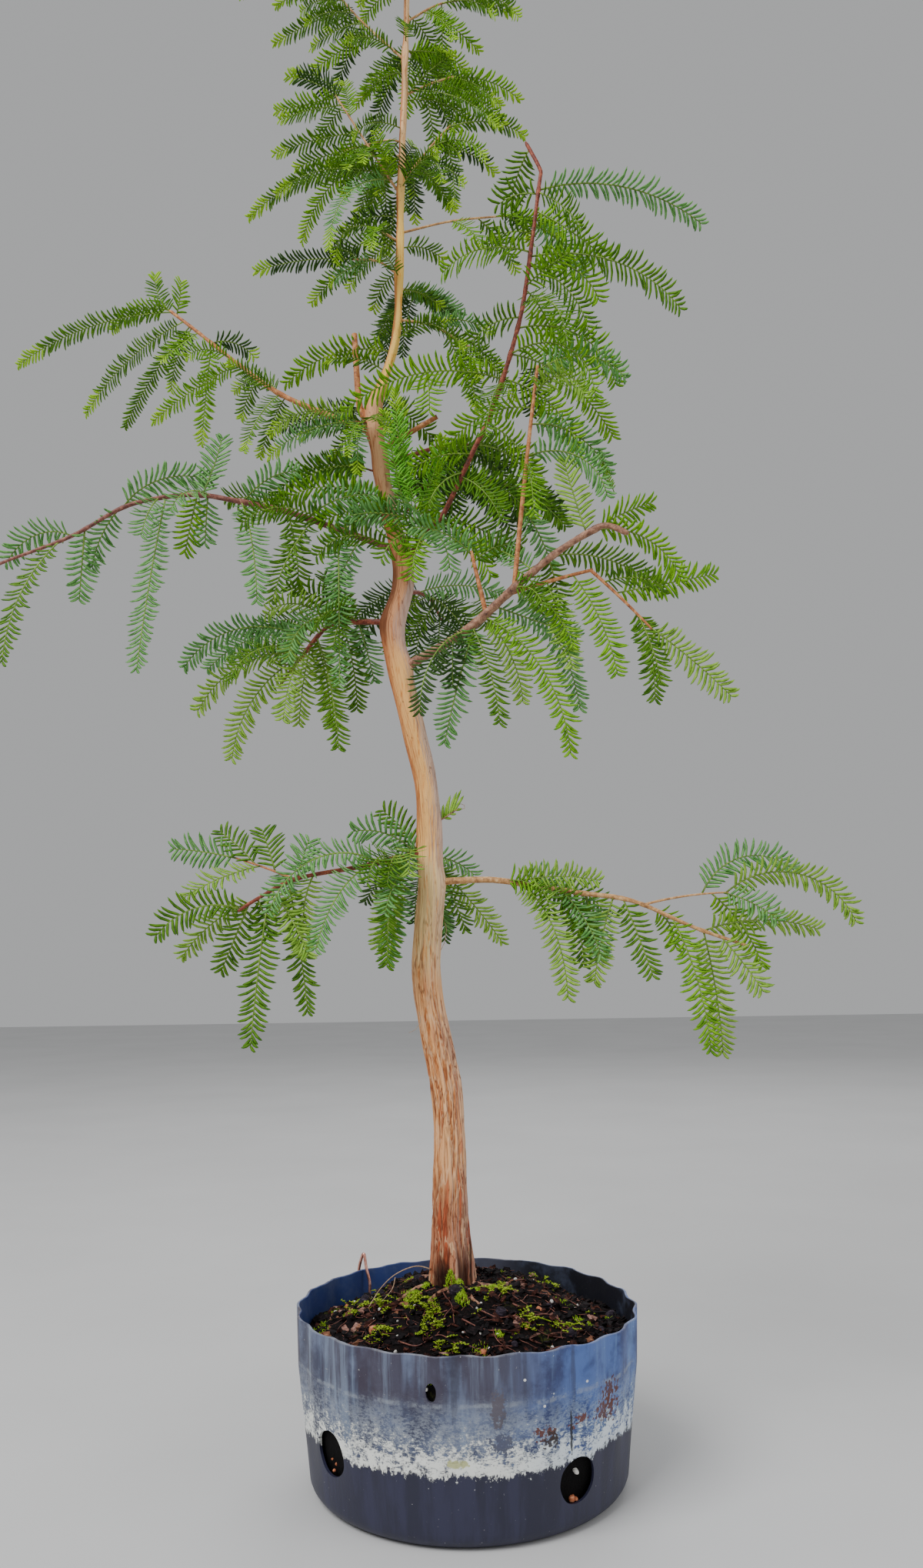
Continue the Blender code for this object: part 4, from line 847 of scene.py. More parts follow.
# %% Pruned stubs
STUBS = {
    "dead_stub": (912, 178, (6.4, 5.2), [(0, 0), (9, 6), (14, 22), (18, 89)], "orange_tan"),
    "small_stub": (884, 345, (5.4, 4.4), [(0, 0), (20, 9), (57, 26)], "orange_tan"),
}
for name, (height, heading, (thick, thin), steps, bark_name) in STUBS.items():
    foot = trunk_at(height * MM)[0]
    out = heading_vector(heading)
    route = Route([foot + (out * run + UP * rise) * MM for run, rise in steps])
    points = route.sampled(3 * MM)
    radii = []
    for k, point in enumerate(points):
        share = k / (len(points) - 1)
        radii.append((thick + (thin - thick) * share) / 2 * MM * (1 + 0.07 * noise.noise(point * 300)))
    last = (points[-1] - points[-2]).normalized()
    points += [points[-1] + last * 0.2 * MM, points[-1] - last * 0.5 * MM]
    radii += [radii[-1] * 0.9, radii[-1] * 0.55]
    store = Store()
    add_tube(store, points, radii, 14)
    store.piece("wood_" + name, TWIG_BARKS[bark_name], "twig_bark", (name,))

# %% [markdown]
# A spray of bald cypress is one thin green shoot with needles in two flat rows, like a feather. A
# needle is up to 20 mm long and 2 mm wide. It leaves the shoot at half a right angle, curves outwards
# like a scythe, and its midrib stands up. Its mesh is a slim boat shape of eighteen faces: a point,
# three three-cornered rings and a point. One spray is worked out with arrays, all its needles at
# once, so tens of thousands of needles take seconds.

# %% Needles
NEEDLE = 20 * MM
NEEDLE_WIDTH = 2.6 * MM
NEEDLE_RIB = 0.5 * MM
NEEDLE_PITCH = 4.2 * MM
NEEDLE_BEND = -0.26
NEEDLE_LIFT = 0.06
NEEDLE_SPREAD, NARROW_SPREAD = 54, 50
OWN_SIZES = {"right_high": 1.12}
NARROW_SIZE = 0.76
YOUNG_FROM = 0.81
# Stations of a needle: how far along, half its width, and its midrib's height
NEEDLE_STATIONS = [(0.06, 0.40, 1.0), (0.50, 0.50, 1.0), (0.85, 0.36, 0.8)]
NEEDLE_SHAPE = np.array(
    [(-0.05, 0.0, 0.0)]
    + [spot for at, half, rib in NEEDLE_STATIONS for spot in ((at, -half, 0.0), (at, half, 0.0), (at, 0.0, rib))]
    + [(1.0, 0.0, 0.0)])
NEEDLE_SKIN = [(1, 4, 3), (3, 4, 6), (3, 6, 2), (2, 6, 5), (2, 5, 1), (1, 5, 4)]
NEEDLE_FACES = np.array(
    [(0, 1, 3), (0, 3, 2), (0, 2, 1)] + NEEDLE_SKIN
    + [(a + 3, b + 3, c + 3) for a, b, c in NEEDLE_SKIN]
    + [(10, 9, 7), (10, 8, 9), (10, 7, 8)])


def add_needles(store, bases, ways, sides, normals, lengths, curl, width):
    """Add one needle at each base: it points its way and curls off it towards its end."""
    share = NEEDLE_SHAPE[:, 0]
    spine = ways[:, None] * share[None, :, None] + curl[:, None] * (share ** 2)[None, :, None]
    points = bases[:, None] + spine * lengths[:, None, None]
    points = points + sides[:, None] * (NEEDLE_SHAPE[:, 1] * width)[None, :, None]
    points = points + normals[:, None] * (NEEDLE_SHAPE[:, 2] * NEEDLE_RIB)[None, :, None]
    count = len(bases)
    faces = NEEDLE_FACES[None] + (np.arange(count) * len(NEEDLE_SHAPE))[:, None, None]
    store.add(points.reshape(-1, 3), faces.reshape(-1, 3))


def add_spray(needle_store, stem_store, route, side_of, rng, size=1.0, spread=NEEDLE_SPREAD, tip_store=None):
    """A flat spray: a thin shoot, and two rows of needles that are longest halfway out.

    Size shortens the needles, and spread is their angle to the shoot. The youngest needles, at the
    shoot's end, go to a store of their own if one is given.
    """
    whole = route.length
    bare = 0.05 * whole + 1.5 * MM
    pitch = NEEDLE_PITCH * (0.2 + 0.8 * size)
    count = max(4, int((whole - bare) / pitch))
    marks = bare + (whole - bare) * (np.arange(2 * count) / (2 * count - 1))
    spine = np.array([route.at(mark) for mark in marks])
    along = np.array([(route.at(mark + 1 * MM) - route.at(mark - 1 * MM)).normalized() for mark in marks])
    face = np.array(side_of)
    across = np.cross(along, face)
    across /= np.linalg.norm(across, axis=1)[:, None]
    normal = np.cross(across, along)
    share = (marks - bare) / (whole - bare)
    grown = 0.60 + 0.40 * np.sin(np.pi * (share * 0.80 + 0.11))
    chance = np.array([rng.uniform(0.88, 1.08) for _ in marks])
    lengths = NEEDLE * size * grown * chance * (1.0 - 0.3 * np.clip((share - 0.9) / 0.1, 0.0, 1.0))
    turn = np.radians(spread - 20 * share ** 2 + np.array([rng.uniform(-9, 9) for _ in marks]))
    lift = np.array([rng.uniform(-0.12, 0.26) for _ in marks])
    hand = np.where(np.arange(len(marks)) % 2 == 0, 1.0, -1.0)[:, None]
    ways = along * np.cos(turn)[:, None] + across * hand * np.sin(turn)[:, None] + normal * lift[:, None]
    ways /= np.linalg.norm(ways, axis=1)[:, None]
    sides = np.cross(normal, ways)
    sides /= np.linalg.norm(sides, axis=1)[:, None]
    ups = np.cross(ways, sides)
    curl = along * NEEDLE_BEND + np.array(UP) * NEEDLE_LIFT
    width = NEEDLE_WIDTH * min(1.0, 0.25 + 0.75 * size)
    young = share > (YOUNG_FROM if tip_store else 2.0)
    for store, chosen in ((needle_store, ~young), (tip_store, young)):
        if chosen.any():
            rows = [values[chosen] for values in (spine, ways, sides, ups, lengths, curl)]
            add_needles(store, *rows, width)
    points = route.sampled(8 * MM)
    thin = [(0.95 - 0.45 * k / (len(points) - 1)) * MM * (0.4 + 0.6 * size) for k in range(len(points))]
    add_tube(stem_store, points, thin, 3)


# %% [markdown]
# New growth is never one green. The leader's tips are yellow-green, the sprays that hang nearest are
# blue-green and the low boughs have some that turn gold. The dark green, dealt most to the far side, is
# painted shade, and the brighter greens that the front sprays favour are painted light. A colour that
# belongs to a place is dealt out by the spray: each kind of green is its own piece with its own plain
# base colour, and only a fine grain varies it within the needle.

# %% Greens
GREENS = {
    "bright": (tint(90, 172, 30), tint(134, 200, 66)),
    "fresh": (tint(82, 136, 2), tint(128, 184, 14)),
    "tips": (tint(124, 176, 8), tint(164, 208, 44)),
    "mid": (tint(58, 104, 8), tint(96, 142, 26)),
    "blue": (tint(74, 132, 54), tint(122, 178, 100)),
    "gold": (tint(104, 150, 36), tint(152, 194, 74)),
    "deep": (tint(32, 66, 8), tint(56, 92, 20)),
}
OWN_GREENS = {
    "upright_tuft": {"bright": 1}, "left_mid": {"blue": 3, "mid": 2, "fresh": 1},
    "left_low": {"blue": 2, "gold": 2, "mid": 2}, "left_inner": {"gold": 3, "blue": 1, "mid": 2},
    "right_high": {"mid": 3, "fresh": 2, "blue": 1}, "left_high": {"mid": 6, "fresh": 3, "deep": 1},
    "right_mid": {"mid": 4, "fresh": 2, "gold": 1, "blue": 2, "deep": 1},
}
LEADER_LOW, LEADER_MIDDLE = 0.95, 1.18
needle_stores = {}
shoot_stems = Store()
twig_stores = {name: Store() for name in TWIG_BARKS}


def green_finish(name, body, light):
    finish = Finish("needles_" + name, 0.55, shine=DULL)
    grain = finish.noise(160.0, 3.0)
    finish.set("Base Color", finish.ramp(grain, [(0.35, body), (0.65, light)]))
    return finish.bump(finish.noise(2400.0, 2.0), 0.0002, 0.4)


def green_shares(place):
    """How the greens are shared out where a spray hangs."""
    if place.z > LEADER_MIDDLE:
        return {"fresh": 22, "mid": 54, "deep": 24}
    # Painted shade: sprays on the far side get mostly the dark green.
    if place.y > 0.05:
        return {"deep": 55, "mid": 37, "blue": 8}
    if place.z < 0.56:
        return {"gold": 40, "fresh": 16, "blue": 20, "mid": 24}
    if place.z > LEADER_LOW:
        return {"mid": 60, "fresh": 18, "blue": 8, "deep": 14}
    # Painted light: the front sprays get the brighter greens and no dark one.
    if place.y < -0.02:
        return {"blue": 18, "gold": 26, "mid": 34, "fresh": 22}
    return {"mid": 52, "blue": 14, "deep": 16, "fresh": 18}


def deal_green(limb, place, draw):
    """Pick the green of a spray from its limb's own shares, or from where it hangs."""
    shares = OWN_GREENS.get(limb) or green_shares(place)
    return draw.choices(list(shares), list(shares.values()))[0]


def needle_store(green, place):
    """The store of a green, in one of three parts of the tree, so that no piece grows too big."""
    part = "low" if place.z < 0.70 else ("middle" if place.z < LEADER_LOW else "high")
    return needle_stores.setdefault((green, part), Store())


# %% [markdown]
# The crown grows by the plan and then by a rule. The measured shoots come first, each facing the way
# its solid does. Then shorter sprays fill in between, left and right in turn along every stem, and
# one that would leave its own mass is not grown. Shuffling the fill with its own random source keeps
# the measured sprays the same whatever the fill does.

# %% Crown
# Where along a stem the fill goes, in millimetres: from, to, step
FILL = {
    "right_mid": [(58, 400, 46)], "right_high": [(188, 280, 90), (280, 420, 70)],
    "left_inner": [(34, 400, 30)], "left_mid": [(70, 180, 110), (180, 400, 50)],
    "left_high": [(98, 130, 16), (130, 300, 50)], "left_low": [(30, 400, 80)],
    "right_low": [(72, 120, 60), (120, 400, 70)], "back_low": [(70, 400, 60)],
    "back_mid": [(40, 400, 34)], "back_high": [(40, 400, 34)], "back_right": [(40, 400, 36)],
}
FILL_ELSE = [(4, 400, 14)]
TWIG_FILL = {"right_low": 70, "left_low": 60, "right_mid": 50}
# Sprays that only the lesson has. The first entry is a distance along the limb or a place in space.
MORE_SHOOTS = {
    "right_high": [
        (42, 205, 20, 78, 40), (38, 250, -30, 72, 50), (40, 305, -25, 58, 60), (52, 350, -30, 74, 40),
        (36, 218, 0, 64, 70), (52, 20, 10, 80, 60), (118, 200, 0, 60, 40),
        (128, 30, 10, 90, 80), (100, 215, -20, 55, 50), (96, 320, -30, 70, 40), (150, 340, -35, 80, 40),
        (352, 348, -35, 85, 15), (300, 350, -25, 95, 60),
        (250, 200, -10, 60, 50), (330, 200, 5, 52, 60), ((-24, -8, 957), 280, -72, 46, 14),
    ],
    "upright_tuft": [(20, 222, 72, 92, -4), (24, 216, 84, 100, -4)],
    "front_tuft_low": [(13, 195, 42, 122, 95), (12, 202, -8, 70, 55), (13, 300, 15, 60, 70)],
    "left_tuft": [(13, 172, 28, 104, 85), (12, 205, 10, 74, 60)],
    "front_tuft": [(18, 205, 24, 96, 84), (14, 300, 0, 62, 60)],
    "back_tuft": [((-60, 8, 984), 172, 18, 108, 62), (20, 40, 30, 90, 70)],
    "back_right": [
        (12, 50, 48, 92, 60), (20, 10, 40, 96, 70), (30, 350, 30, 78, 70), (34, 20, 62, 100, 50),
    ],
    "left_mid": [
        (38, 200, -58, 78, 20), (12, 215, 25, 84, 84), (70, 215, 30, 92, 80), (84, 225, -50, 96, 25),
    ],
    "left_inner": [
        (40, 200, 45, 66, 40), (60, 230, 35, 84, 80), (70, 150, 40, 92, 70), (34, 236, 28, 66, 85),
        (46, 262, -8, 60, 60),
    ],
    "leader_right_low": [(66, 330, -72, 80, 8), (50, 20, -60, 72, 15), (30, 340, 10, 70, 60)],
    "left_low": [
        (14, 200, 48, 62, 60), (16, 250, -20, 84, 40), (20, 215, -58, 86, 20), (12, 170, 66, 50, 30),
        (24, 236, -70, 92, 10), (12, 238, 24, 44, 95), (17, 268, 22, 52, 95), (28, 258, 16, 58, 90),
        (38, 250, 20, 60, 90),
    ],
    "right_low": [
        (66, 325, 12, 40, 60), (76, 15, 24, 44, 60), (86, 296, 8, 52, 90), (98, 332, -22, 64, 50),
        (108, 22, 12, 58, 70), (114, 312, -34, 74, 36),
    ],
}
# Thin young shoots with tiny needles: their limb, where they start, heading, pitch, length and sag.
YOUNG_SHOOTS = [
    ("right_high", (-27, -20, 812), 0, 62, 68, -44),
    ("right_mid", (142, -30, 826), 180, 70, 40, -6),
]
YOUNG_SIZE, YOUNG_SPREAD = 0.34, 44
# The twiglet low on the trunk has a few single needles: distance along it, pitch and length.
TWIGLET = [
    (13, 92, 13), (15, 82, 17), (17.5, 86, 19), (20, 76, 21), (22.5, 72, 22), (25, 62, 16),
    (15, -10, 6), (21, -4, 5), (27, 14, 5),
]
GOLDEN_ANGLE = 137.5
LEADER_TUFTS = 15
MASS_MARGIN = 7 * MM
counts = {"measured": 0, "filled": 0, "left out": 0}


def is_narrow(limb):
    """Whether a limb has the short, forward needles of young growth."""
    return limb.startswith(("leader", "tip")) or limb in ("left_high", "upright_tuft", "front_tuft")


def inside(box, route):
    """Whether a shoot's middle and tip stay in the mass's own box."""
    low, high = box
    for share in (0.5, 1.0):
        spot = route.at(route.length * share)
        if any(spot[k] < low[k] - MASS_MARGIN or spot[k] > high[k] + MASS_MARGIN for k in range(3)):
            return False
    return True


def grow_spray(limb, route, side_of, draw, size=1.0):
    """One spray of a limb, in the green and the habit that belong to its place."""
    place = route.at(route.length * 0.6)
    green = deal_green(limb, place, draw)
    store, tip = needle_store(green, place), None
    size, spread = size * OWN_SIZES.get(limb, 1.0), NEEDLE_SPREAD
    if is_narrow(limb):
        size, spread = size * NARROW_SIZE, NARROW_SPREAD
    if is_narrow(limb) and place.y < 0.05:
        tip = needle_store("tips", place)
        tip.nodes.add("mass_" + limb)
    store.nodes.add("mass_" + limb)
    add_spray(store, shoot_stems, route, side_of, draw, size, spread, tip)


def grow_shoots(limb, stem, shoots, radius, rng, draw):
    """The shoots of a plan row, going on into the twigs that carry shoots. It returns the stems."""
    stems = [stem]
    for shoot in shoots:
        start = Vector(shoot[0]) * MM if isinstance(shoot[0], tuple) else stem.at(shoot[0] * MM)
        route = shoot_route(start, shoot)
        if len(shoot) > 5:
            points = route.sampled(5 * MM)
            radii = [radius * (1.0 - 0.35 * i / (len(points) - 1)) for i in range(len(points))]
            add_tube(twig_stores[TWIG_BARK_OF.get(limb, bark_of(limb))], points, radii, 8)
            stems += grow_shoots(limb, route, shoot[5], radius * 0.7, rng, draw)
            continue
        side_of = flat_side(start, shoot[1], shoot[2] - shoot[4] * 0.5, rng)
        grow_spray(limb, route, side_of, draw)
        counts["measured"] += 1
    return stems


def fill_stem(limb, stem, start, end, step, box, draw):
    """Short sprays between the measured ones, left and right in turn."""
    mark = start
    hand = 1
    longest = 74 if is_narrow(limb) else 96
    while mark < min(stem.length, end):
        way = stem.at(mark + 2 * MM) - stem.at(mark - 2 * MM)
        heading = math.degrees(math.atan2(way.y, way.x))
        hand = -hand
        row = (0, heading + hand * draw.uniform(28, 95), draw.uniform(-48, 34),
               draw.uniform(40, longest), draw.uniform(15, 80))
        route = shoot_route(stem.at(mark), row)
        if inside(box, route):
            side_of = flat_side(stem.at(mark), row[1], row[2] - row[4] * 0.5, draw)
            grow_spray(limb, route, side_of, draw, 0.94)
            counts["filled"] += 1
        else:
            counts["left out"] += 1
        mark += step * draw.uniform(0.7, 1.3)


for name, (height, heading, bare, thick, route_rows, shoots) in LIMBS.items():
    rng = random.Random(SEED + height + len(name))
    draw = random.Random(SEED * 31 + height)
    if isinstance(shoots, int):
        shoots = ruled_shoots(name, shoots, random.Random(SEED + height))
    stem = limb_route(name)
    if not bare:
        add_limb(twig_stores[bark_of(name)], name, 8, 4 * MM)
    radius = limb_radius(name, stem.length, stem.length) * 0.9
    stems = grow_shoots(name, stem, shoots, radius, rng, draw)
    more = random.Random(SEED * 7 + height)
    grow_shoots(name, stem, MORE_SHOOTS.get(name, []), radius, more, more)
    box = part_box("mass_" + name)
    if name == "trunk_twiglet":
        continue
    for start, end, step in FILL.get(name, FILL_ELSE):
        fill_stem(name, stem, max(bare, start) * MM, end * MM, step * MM, box, draw)
    for twig in stems[1:]:
        fill_stem(name, twig, 16 * MM, twig.length, TWIG_FILL.get(name, 7) * MM, box, draw)

for limb, start, heading, pitch, length, sag in YOUNG_SHOOTS:
    route = shoot_route(Vector(start) * MM, (0, heading, pitch, length, sag), 8 * MM)
    store = needle_store("fresh", route.at(0))
    add_spray(store, shoot_stems, route, VIEWER, random.Random(SEED), YOUNG_SIZE, YOUNG_SPREAD)

twiglet = limb_route("trunk_twiglet")
twiglet_store = needle_store("gold", twiglet.at(0))
twiglet_store.nodes.add("mass_trunk_twiglet")
marks, pitches, sizes = np.array(TWIGLET, float).T
bases = np.array([twiglet.at(mark * MM) for mark in marks])
ways = np.array([heading_vector(0, pitch) for pitch in pitches])
normals = np.tile(np.array(VIEWER), (len(TWIGLET), 1))
curls = np.tile((0.10, 0.0, 0.0), (len(TWIGLET), 1))
add_needles(twiglet_store, bases, ways, np.cross(normals, ways), normals, sizes * MM, curls, NEEDLE_WIDTH)

# Short tufts straight from the leader, each counted with the nearest limb.
tuft_draw = random.Random(SEED + 70)
leaders = {name: row[0] for name, row in LIMBS.items() if name.startswith("leader")}
for k in range(LEADER_TUFTS):
    height = 962 + 31 * k
    start, radius = trunk_at(height * MM)
    nearest = min(leaders, key=lambda name: abs(leaders[name] - height))
    row = (0, 200 + GOLDEN_ANGLE * k, tuft_draw.uniform(-5, 40), tuft_draw.uniform(44, 76), 60)
    route = shoot_route(start + heading_vector(row[1]) * radius, row)
    grow_spray(nearest, route, flat_side(start, row[1], row[2] - 30, tuft_draw), tuft_draw)
print(counts)

# %% [markdown]
# The growing tip stands on the trunk's end. Its shoots follow the golden angle, which is how a real
# leader spaces them, and they shorten and rise towards the top.

# %% Growing tip
TIP_LENGTH = 120
TIP_SHOOTS = 8
rng = random.Random(SEED)
draw = random.Random(SEED + 1)
foot, radius = trunk_at(TRUNK[-1][0] * MM)
tip_route = Route([foot, foot + (heading_vector(40) * 4 + UP * TIP_LENGTH) * MM])
tip_points = tip_route.sampled(5 * MM)
tip_radii = [radius * (1 - 0.6 * k / (len(tip_points) - 1)) for k in range(len(tip_points))]
add_tube(twig_stores["orange_tan"], tip_points, tip_radii, 8)
tip_shoots = []
for k in range(TIP_SHOOTS):
    share = (k + 0.5) / TIP_SHOOTS
    tip_shoots.append((10 + (TIP_LENGTH - 12) * share, 20 + GOLDEN_ANGLE * k, 25 + 35 * share,
                       88 - 42 * share, 75 - 40 * share))
tip_shoots.append((TIP_LENGTH - 4, 150, 80, 42, 15))
grow_shoots("tip", tip_route, tip_shoots, radius * 0.5, rng, draw)
fill_stem("tip", tip_route, 4 * MM, tip_route.length, 5 * MM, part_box("mass_tip"), draw)

shoot_green = twig_finish("shoot_green", tint(78, 104, 28), tint(112, 144, 46), tint(150, 176, 78))
green_finishes = {name: green_finish(name, body, light) for name, (body, light) in GREENS.items()}
for (green, part), store in sorted(needle_stores.items()):
    store.piece(f"needles_{green}_{part}", green_finishes[green], "needles")
shoot_stems.piece("shoot_stems", shoot_green, "needles")
for name, store in twig_stores.items():
    if store.count:
        store.piece("twigs_" + name, TWIG_BARKS[name], "twig_bark")

# %% [markdown]
# The pot is a nursery can sawn off half way up. Blow-moulded cans have shallow upright flutes that
# fade into the rounded foot, a wall of about 2 mm and large oval drain holes low on the side. The mesh
# is turned from a profile with many steps, so that the flutes are smooth, and the wavy cut rim and
# the holes come after.

# %% Pot mesh
RIM_RADIUS = 140 * MM
SHOULDER_RADIUS = 139 * MM
FOOT_RADIUS = 128 * MM
CAN_HEIGHT = 135 * MM
SHOULDER_HEIGHT = 97 * MM
CAN_WALL = 2.2 * MM
FLOOR_THICKNESS = 3 * MM
CORNER_RADIUS = 12 * MM
FLUTES = 22
FLUTE_DEPTH = 1.5 * MM
RIM_WAVE = 0.6 * MM
RIM_DIP = 4 * MM
AROUND = FLUTES * 14
WALL_HOLES = [(219, 50, 33, 33), (307, 38, 33, 33), (259, 110, 8, 13), (37, 46, 33, 33), (128, 42, 33, 33)]


def wall_radius(z):
    """The radius of the can's outer face at a height, with its flutes left out."""
    if z < SHOULDER_HEIGHT:
        return FOOT_RADIUS + (SHOULDER_RADIUS - FOOT_RADIUS) * z / SHOULDER_HEIGHT
    share = (z - SHOULDER_HEIGHT) / (CAN_HEIGHT - SHOULDER_HEIGHT)
    return SHOULDER_RADIUS + (RIM_RADIUS - SHOULDER_RADIUS) * share


profile = []
for k in range(7):
    angle = math.radians(15 * k)
    profile.append((wall_radius(CORNER_RADIUS) - CORNER_RADIUS * (1 - math.sin(angle)),
                    CORNER_RADIUS * (1 - math.cos(angle))))
for k in range(1, 32):
    z = CORNER_RADIUS + (CAN_HEIGHT - CORNER_RADIUS - 0.5 * MM) * k / 31
    profile.append((wall_radius(z), z))
profile.append((RIM_RADIUS - 0.5 * MM, CAN_HEIGHT))
profile.append((RIM_RADIUS - CAN_WALL + 0.5 * MM, CAN_HEIGHT))
for k in range(15):
    z = CAN_HEIGHT - 0.5 * MM - (CAN_HEIGHT - 0.5 * MM - CORNER_RADIUS) * k / 14
    profile.append((wall_radius(z) - CAN_WALL, z))
profile.append((FOOT_RADIUS - CORNER_RADIUS, FLOOR_THICKNESS))
can_rings = np.empty((len(profile), AROUND, 3))
for i, (radius, z) in enumerate(profile):
    rise = max(0.0, (z - CORNER_RADIUS) / (CAN_HEIGHT - CORNER_RADIUS))
    edge = max(0.0, (rise - 0.85) / 0.15)
    for k in range(AROUND):
        angle = math.tau * k / AROUND
        grown = radius + FLUTE_DEPTH * rise * math.cos(FLUTES * angle)
        grown += 0.8 * MM * rise * around(angle, z, 1.7, 9.0, 0.0)
        lift = RIM_WAVE * math.cos(FLUTES * angle + 1.0) * math.sin(2 * angle + 0.6)
        lift += 0.45 * MM * around(angle, 0.3, 19.0, 1.0, 0.0)
        lift -= RIM_DIP * max(0.0, math.cos(angle)) ** 2
        can_rings[i, k] = (grown * math.cos(angle), grown * math.sin(angle), z + lift * edge)
can_store = Store()
add_rings(can_store, can_rings)
drills = Store()
for heading, height, width, tall in WALL_HOLES:
    out = heading_vector(heading)
    across = heading_vector(heading + 90)
    centre = out * wall_radius(height * MM) + UP * height * MM
    ends = np.empty((2, 48, 3))
    for k in range(48):
        angle = math.tau * k / 48
        rough = 1 + 0.05 * around(angle, heading, 1.6, 1.0, 0.0)
        spot = centre + (across * width * math.cos(angle) + UP * tall * math.sin(angle)) / 2 * rough * MM
        ends[0, k], ends[1, k] = spot - out * 14 * MM, spot + out * 14 * MM
    add_rings(drills, ends)


def outward_object(store, name):
    """An object with every face turned outwards, which is what a boolean needs."""
    mesh = bpy.data.meshes.new(name)
    mesh.from_pydata(np.concatenate(store.points).tolist(), [], store.faces)
    solid = bmesh.new()
    solid.from_mesh(mesh)
    bmesh.ops.recalc_face_normals(solid, faces=solid.faces)
    solid.to_mesh(mesh)
    solid.free()
    obj = bpy.data.objects.new(name, mesh)
    bpy.context.scene.collection.objects.link(obj)
    return obj


can, drill = outward_object(can_store, "can"), outward_object(drills, "drills")
cut = can.modifiers.new("Holes", "BOOLEAN")
cut.operation = "DIFFERENCE"
cut.object = drill
bpy.context.view_layer.update()
cut_mesh = bpy.data.meshes.new_from_object(can.evaluated_get(bpy.context.evaluated_depsgraph_get()))
for spare in (can, drill):
    bpy.data.objects.remove(spare)
cut_mesh.name = "pot_can"
pot_can = bpy.data.objects.new("pot_can", cut_mesh)
bpy.context.scene.collection.objects.link(pot_can)
print("pot faces:", len(cut_mesh.polygons))

# %% [markdown]
# Years of hard water have dressed the pot. Below a ragged line a third of the way up, the plastic is
# an even slate where it stays damp. At the line there is a cream-white crust of lime, pale mottling
# stands above it up to a second, thin line, and then the wall has dried to a mottled slate with pale
# streaks that run down the flutes. Above the line, the slate, its streaks and the lime turn bluer on the
# right, as painted light from that side. Each of these is a mask made from the height, pushed about by
# noise, so that no edge is a clean circle. A few stains are set one by one, and two painted soft
# shadows with them. Inside, the wall is painted blue as lit on the left and dark as shade on the right.

# %% Pot finish
STAINS_AND_SHADOWS = [
    # The first two rows are painted soft shadows; the rest are stains and specks.
    (21, 99, 5, 12, 5.0, tint(88, 82, 92)), (24, 74, 8, 6, 11.0, tint(78, 82, 106)),
    (107, 92, 5, 7, 16.0, tint(84, 34, 18)), (104, 82, 7, 7, 16.0, tint(92, 38, 20)),
    (83, 82, 4, 3, 11.0, tint(104, 46, 20)), (76, 78, 3, 2, 9.0, tint(104, 46, 20)),
    (56, 77, 7, 4, 14.0, tint(98, 44, 22)), (60, 72, 5, 4, 12.0, tint(44, 28, 28)),
    (41, 116, 1, 1, 1.0, tint(236, 236, 234)), (88, 107, 1, 1, 1.0, tint(236, 236, 234)),
    (55, 97, 1, 1, 1.0, tint(236, 236, 234)), (75, 73, 1, 14, 3.0, tint(24, 24, 30)),
    (-9, 61, 9, 3, 3.0, tint(190, 192, 132)),
]


